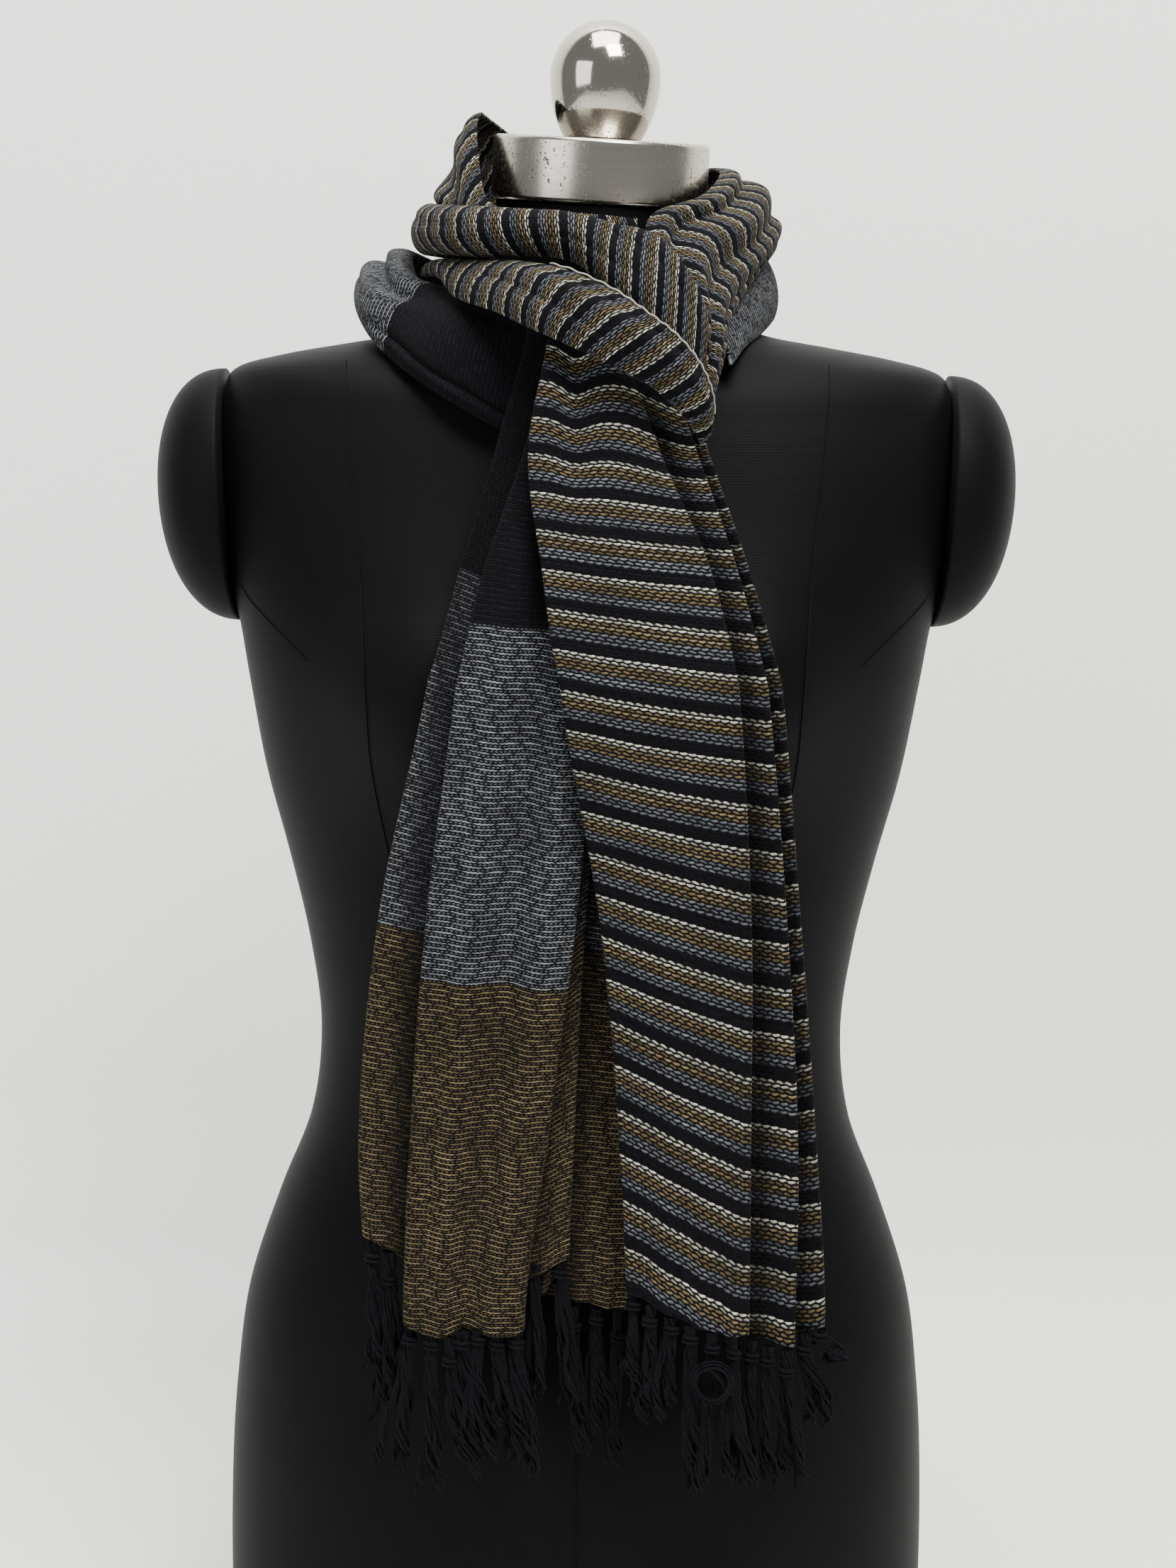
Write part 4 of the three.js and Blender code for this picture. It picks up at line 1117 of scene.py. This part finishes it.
def gathered_top(points, uv):
    """The main panel's top, drawn together by the knot: a valley, a ridge, and stripes that sag with them."""
    x, z = points[..., 0], points[..., 2]
    near = smooth((z - 565) / 75)
    front = np.exp(-(((x - 8) / 34) ** 4))
    valley = near * front * np.exp(-(((x + 5) / 6.5) ** 2))
    ridge = near * front * np.exp(-(((x - 11) / 7) ** 2))
    points[..., 1] += 3.0 * valley - 1.6 * ridge
    uv[..., 1] += (6.0 * valley - 1.5 * ridge + 13 * near * smooth((x - 15) / 30)) * MM
    return points, uv


def make_tail(name, table, hang, material, slot, node, length):
    """A hanging end as one piece, its UV running down from the knot to the hem."""
    points, blocks, share = tail_points(table, hang, 200, 5, 5)
    uv = cloth_uv(points, points.shape[1] // 2)
    if length:
        rise = 1 - share
        sag = (blocks + points[..., 2]) * (0.3 + 0.7 * smooth((560 - points[..., 2]) / 260))
        uv[..., 1] = (length * rise * (0.8 + 0.2 * rise))[:, None] + sag * MM
        points, uv = gathered_top(points, uv)
    else:
        uv[..., 1] = BLOCK_CHANGE + blocks * MM
    low = share[:, None]
    points[..., 1] += 0.8 * low * np.sin(points[..., 0] / 7.5 + points[..., 2] / 70)
    points[..., 2] += 0.7 * low**8 * np.sin(points[..., 0] / 2.3 + points[..., 1] / 5)
    piece = mesh_object(name, points, grid_faces(*points.shape[:2]), uv, material)
    # Painted shade: how deep each point lies in a groove, stored so that the cloth's colour is darkened there.
    groove_shade = piece.data.attributes.new("groove_shade", "FLOAT", "POINT")
    groove_shade.data.foreach_set("value", painted_groove_shade(points).astype(np.float32).ravel())
    add_wall(piece, bpy.context.scene.stole_sizes.thickness)
    return settle(piece, slot, node)


def make_fringe(name, table, hang, material, node, seed, curl=None):
    """Knotted tassels below a hem, each a bundle of loose strands.

    A strand runs from the hem through a narrow knot and opens out towards its
    end, with a slow twist and a wobble that grow with distance.
    """
    sizes = bpy.context.scene.stole_sizes
    random = np.random.default_rng(seed)
    steps = 20
    s = np.linspace(0, 1, steps)
    paths, ties = [], []
    hem_y = hang[-1][1]
    for row in table:
        tassel = named(row, TASSEL_COLUMNS)
        count = sizes.strands
        yarn = np.arange(count)[:, None] % YARNS
        angle = random.uniform(0, 2 * np.pi, (YARNS, 1))[yarn[:, 0]]
        reach = np.sqrt(random.uniform(0.05, 1, (YARNS, 1)))[yarn[:, 0]]
        length = random.uniform(0.80, 1.02, (YARNS, 1))[yarn[:, 0]] * random.uniform(0.94, 1.02, (count, 1))
        sway = random.uniform(-1, 1, (YARNS, 1))[yarn[:, 0]] * np.sin(s * random.uniform(4, 9)) * s * random.uniform(1.5, 4.5)
        opening = 0.3 + 0.7 * smooth((s - 0.2) / 0.7)
        ties.append(KNOT * random.uniform(0.6, 1.5))
        pinch = 1 - 0.5 * np.exp(-(((s - ties[-1]) / 0.05) ** 2))
        turn = angle + s * 1.2
        radius = reach * opening * pinch * tassel["spread"] * random.uniform(0.75, 1.45)
        fray = 0.95 + 1.5 * smooth((s - 0.72) / 0.28)
        twist = random.uniform(0, 2 * np.pi, (count, 1)) + 2 * np.pi * 2.6 * s
        x = tassel["x"] + (tassel["end_x"] - tassel["x"]) * smooth(s * length)
        x = x + radius * np.cos(turn) + fray * np.cos(twist) + sway
        y = hem_y - tassel["depth"] + 0.55 * radius * np.sin(turn) + 0.8 * fray * np.sin(twist) + 0.4 * sway
        z = tassel["top"] + 1.5 + (tassel["end_z"] - tassel["top"]) * s * length
        paths.append(np.stack([x, y, z], -1))
    if curl:
        # Loose yarns that turn round in a ring in front of the others.
        a = np.linspace(1.9, -5.6, steps)[None, :]
        wide = curl[2] + np.array([0.0, 0.9, -1.1])[:, None]
        middle_y = hem_y - curl[3] + np.array([0.0, 1.0, -0.8])[:, None]
        x = curl[0] + wide * np.cos(a) * (1 + 0.1 * np.sin(a))
        z = curl[1] + 1.05 * wide * np.sin(a) + 12 * np.clip(s - 0.85, 0, 1) * -4
        paths.append(np.stack([x, middle_y + 0.6 * np.sin(2 * a), z], -1))
    points, faces = tubes(np.concatenate(paths), sizes.strand / MM / 2)
    t = np.linspace(0, 1, 40)
    coil = np.stack([2.7 * np.cos(16 * t), 2.3 * np.sin(16 * t), 2.6 * (1 - 2 * t)], -1)
    coil[:, :2] *= (0.7 + 0.3 * np.sin(np.pi * t))[:, None]
    knots = []
    for row, tie in zip(table, ties):
        tassel = named(row, TASSEL_COLUMNS)
        fall = tie * (tassel["top"] - tassel["end_z"])
        knots.append(coil + np.array([tassel["x"], hem_y - tassel["depth"], tassel["top"] + 1.5 - fall]))
    knot_points, knot_faces = tubes(np.array(knots), 0.95, 6)
    faces = np.concatenate([faces, knot_faces + len(points)])
    points = np.concatenate([points, knot_points])
    piece = mesh_object(name, points, faces, material=material)
    return settle(piece, "stole_fringe", node)


class STOLE_OT_ends(bpy.types.Operator):
    """Make the two hanging ends of the stole with their fringes"""

    bl_idname = "stole.ends"
    bl_label = "Hanging ends"
    bl_options = {"REGISTER", "UNDO"}

    def execute(self, context):
        colours = context.scene.stole_colours
        wool = tassel_wool()
        fringe_left = make_fringe("stole_fringe_left", TASSELS_LEFT, HANG_LEFT, wool, "fringe_left", 11)
        fringe_right = make_fringe("stole_fringe_right", TASSELS_RIGHT, HANG_RIGHT, wool, "fringe_right", 23, CURL)
        stops = (
            (0.0, scaled(colours.black, 1.5)), (BLOCK_CHANGE - 0.148, colours.grey), (BLOCK_CHANGE, colours.ochre),
        )
        blocks = block_cloth("stole_blocks", stops)
        left = make_tail("stole_tail_left", TAIL_LEFT, HANG_LEFT, blocks, "stole_blocks", "tail_left", None)
        right = make_tail(
            "stole_tail_right", TAIL_RIGHT, HANG_RIGHT, striped_cloth(), "stole_stripes", "tail_right", 0.415,
        )
        return {"FINISHED"}


class STOLE_OT_stage(bpy.types.Operator):
    """Make the pale floor and backdrop, the soft lights and the camera"""

    bl_idname = "stole.stage"
    bl_label = "Stage"
    bl_options = {"REGISTER", "UNDO"}

    def execute(self, context):
        colours = context.scene.stole_colours
        depth = np.array([-2600, 260, 420, 470, 480, 480, 480], float)
        height = np.array([-2, -2, 10, 60, 160, 1400, 2600], float)
        x = np.linspace(-2200, 2200, 3)
        points = np.stack(np.broadcast_arrays(x[None, :], depth[:, None], height[:, None]), -1)
        wall = mesh_object("backdrop", points, grid_faces(len(depth), len(x)), material=pale_finish("pale_wall", colours.wall))
        self.light("key", (0.55, -1.25, 2.35), (0, 0, 0.45), 0.9, 74, (1.0, 0.99, 0.97))
        self.light("fill", (-1.7, -1.6, 1.1), (0, 0, 0.4), 1.4, 22, (0.95, 0.97, 1.0))
        self.light("top", (0.0, -0.3, 2.4), (0, 0.45, 0.5), 1.2, 58, (1.0, 0.995, 0.98))
        world = bpy.data.worlds.new("studio")
        context.scene.world = world
        world.use_nodes = True
        world.node_tree.nodes["Background"].inputs[0].default_value = (0.86, 0.88, 0.92, 1.0)
        world.node_tree.nodes["Background"].inputs[1].default_value = 0.38
        camera = bpy.data.cameras.new("camera")
        camera.sensor_width = 36
        camera.lens = 58.07
        view = bpy.data.objects.new("camera", camera)
        view.location = (0, -1.150, 0.645)
        view.rotation_euler = (math.radians(90 - 9.7), math.radians(-0.6), 0)
        context.scene.collection.objects.link(view)
        context.scene.camera = view
        return {"FINISHED"}

    @staticmethod
    def light(name, place, target, size, power, colour):
        """A square area light aimed at a point."""
        from mathutils import Vector

        data = bpy.data.lights.new(name, "AREA")
        data.size = size
        data.energy = power
        data.color = colour
        lamp = bpy.data.objects.new(name, data)
        lamp.location = place
        lamp.rotation_euler = (Vector(target) - Vector(place)).to_track_quat("-Z", "Y").to_euler()
        bpy.context.scene.collection.objects.link(lamp)


OPERATORS = (STOLE_OT_form, STOLE_OT_neck_steel, STOLE_OT_shoulder_band, STOLE_OT_neck, STOLE_OT_ends, STOLE_OT_stage)


class STOLE_PT_panel(bpy.types.Panel):
    """Lists the stole's operators and settings"""

    bl_idname = "STOLE_PT_panel"
    bl_label = "Stole on a dress form"
    bl_space_type = "VIEW_3D"
    bl_region_type = "UI"
    bl_category = "Stole"

    def draw(self, context):
        layout = self.layout
        for operator in OPERATORS:
            layout.operator(operator.bl_idname)
        for settings in (context.scene.stole_sizes, context.scene.stole_colours):
            box = layout.box()
            for name in settings.__annotations__:
                box.prop(settings, name)


CLASSES = (StoleSizes, StoleColours, *OPERATORS, STOLE_PT_panel)


def register():
    for cls in CLASSES:
        bpy.utils.register_class(cls)
    bpy.types.Scene.stole_sizes = PointerProperty(type=StoleSizes)
    bpy.types.Scene.stole_colours = PointerProperty(type=StoleColours)


def unregister():
    del bpy.types.Scene.stole_colours
    del bpy.types.Scene.stole_sizes
    for cls in reversed(CLASSES):
        bpy.utils.unregister_class(cls)


def main():
    register()
    bpy.ops.stole.stage()
    bpy.ops.stole.form()
    bpy.ops.stole.neck_steel()
    bpy.ops.stole.shoulder_band()
    bpy.ops.stole.neck()
    bpy.ops.stole.ends()


if __name__ == "__main__":
    main()
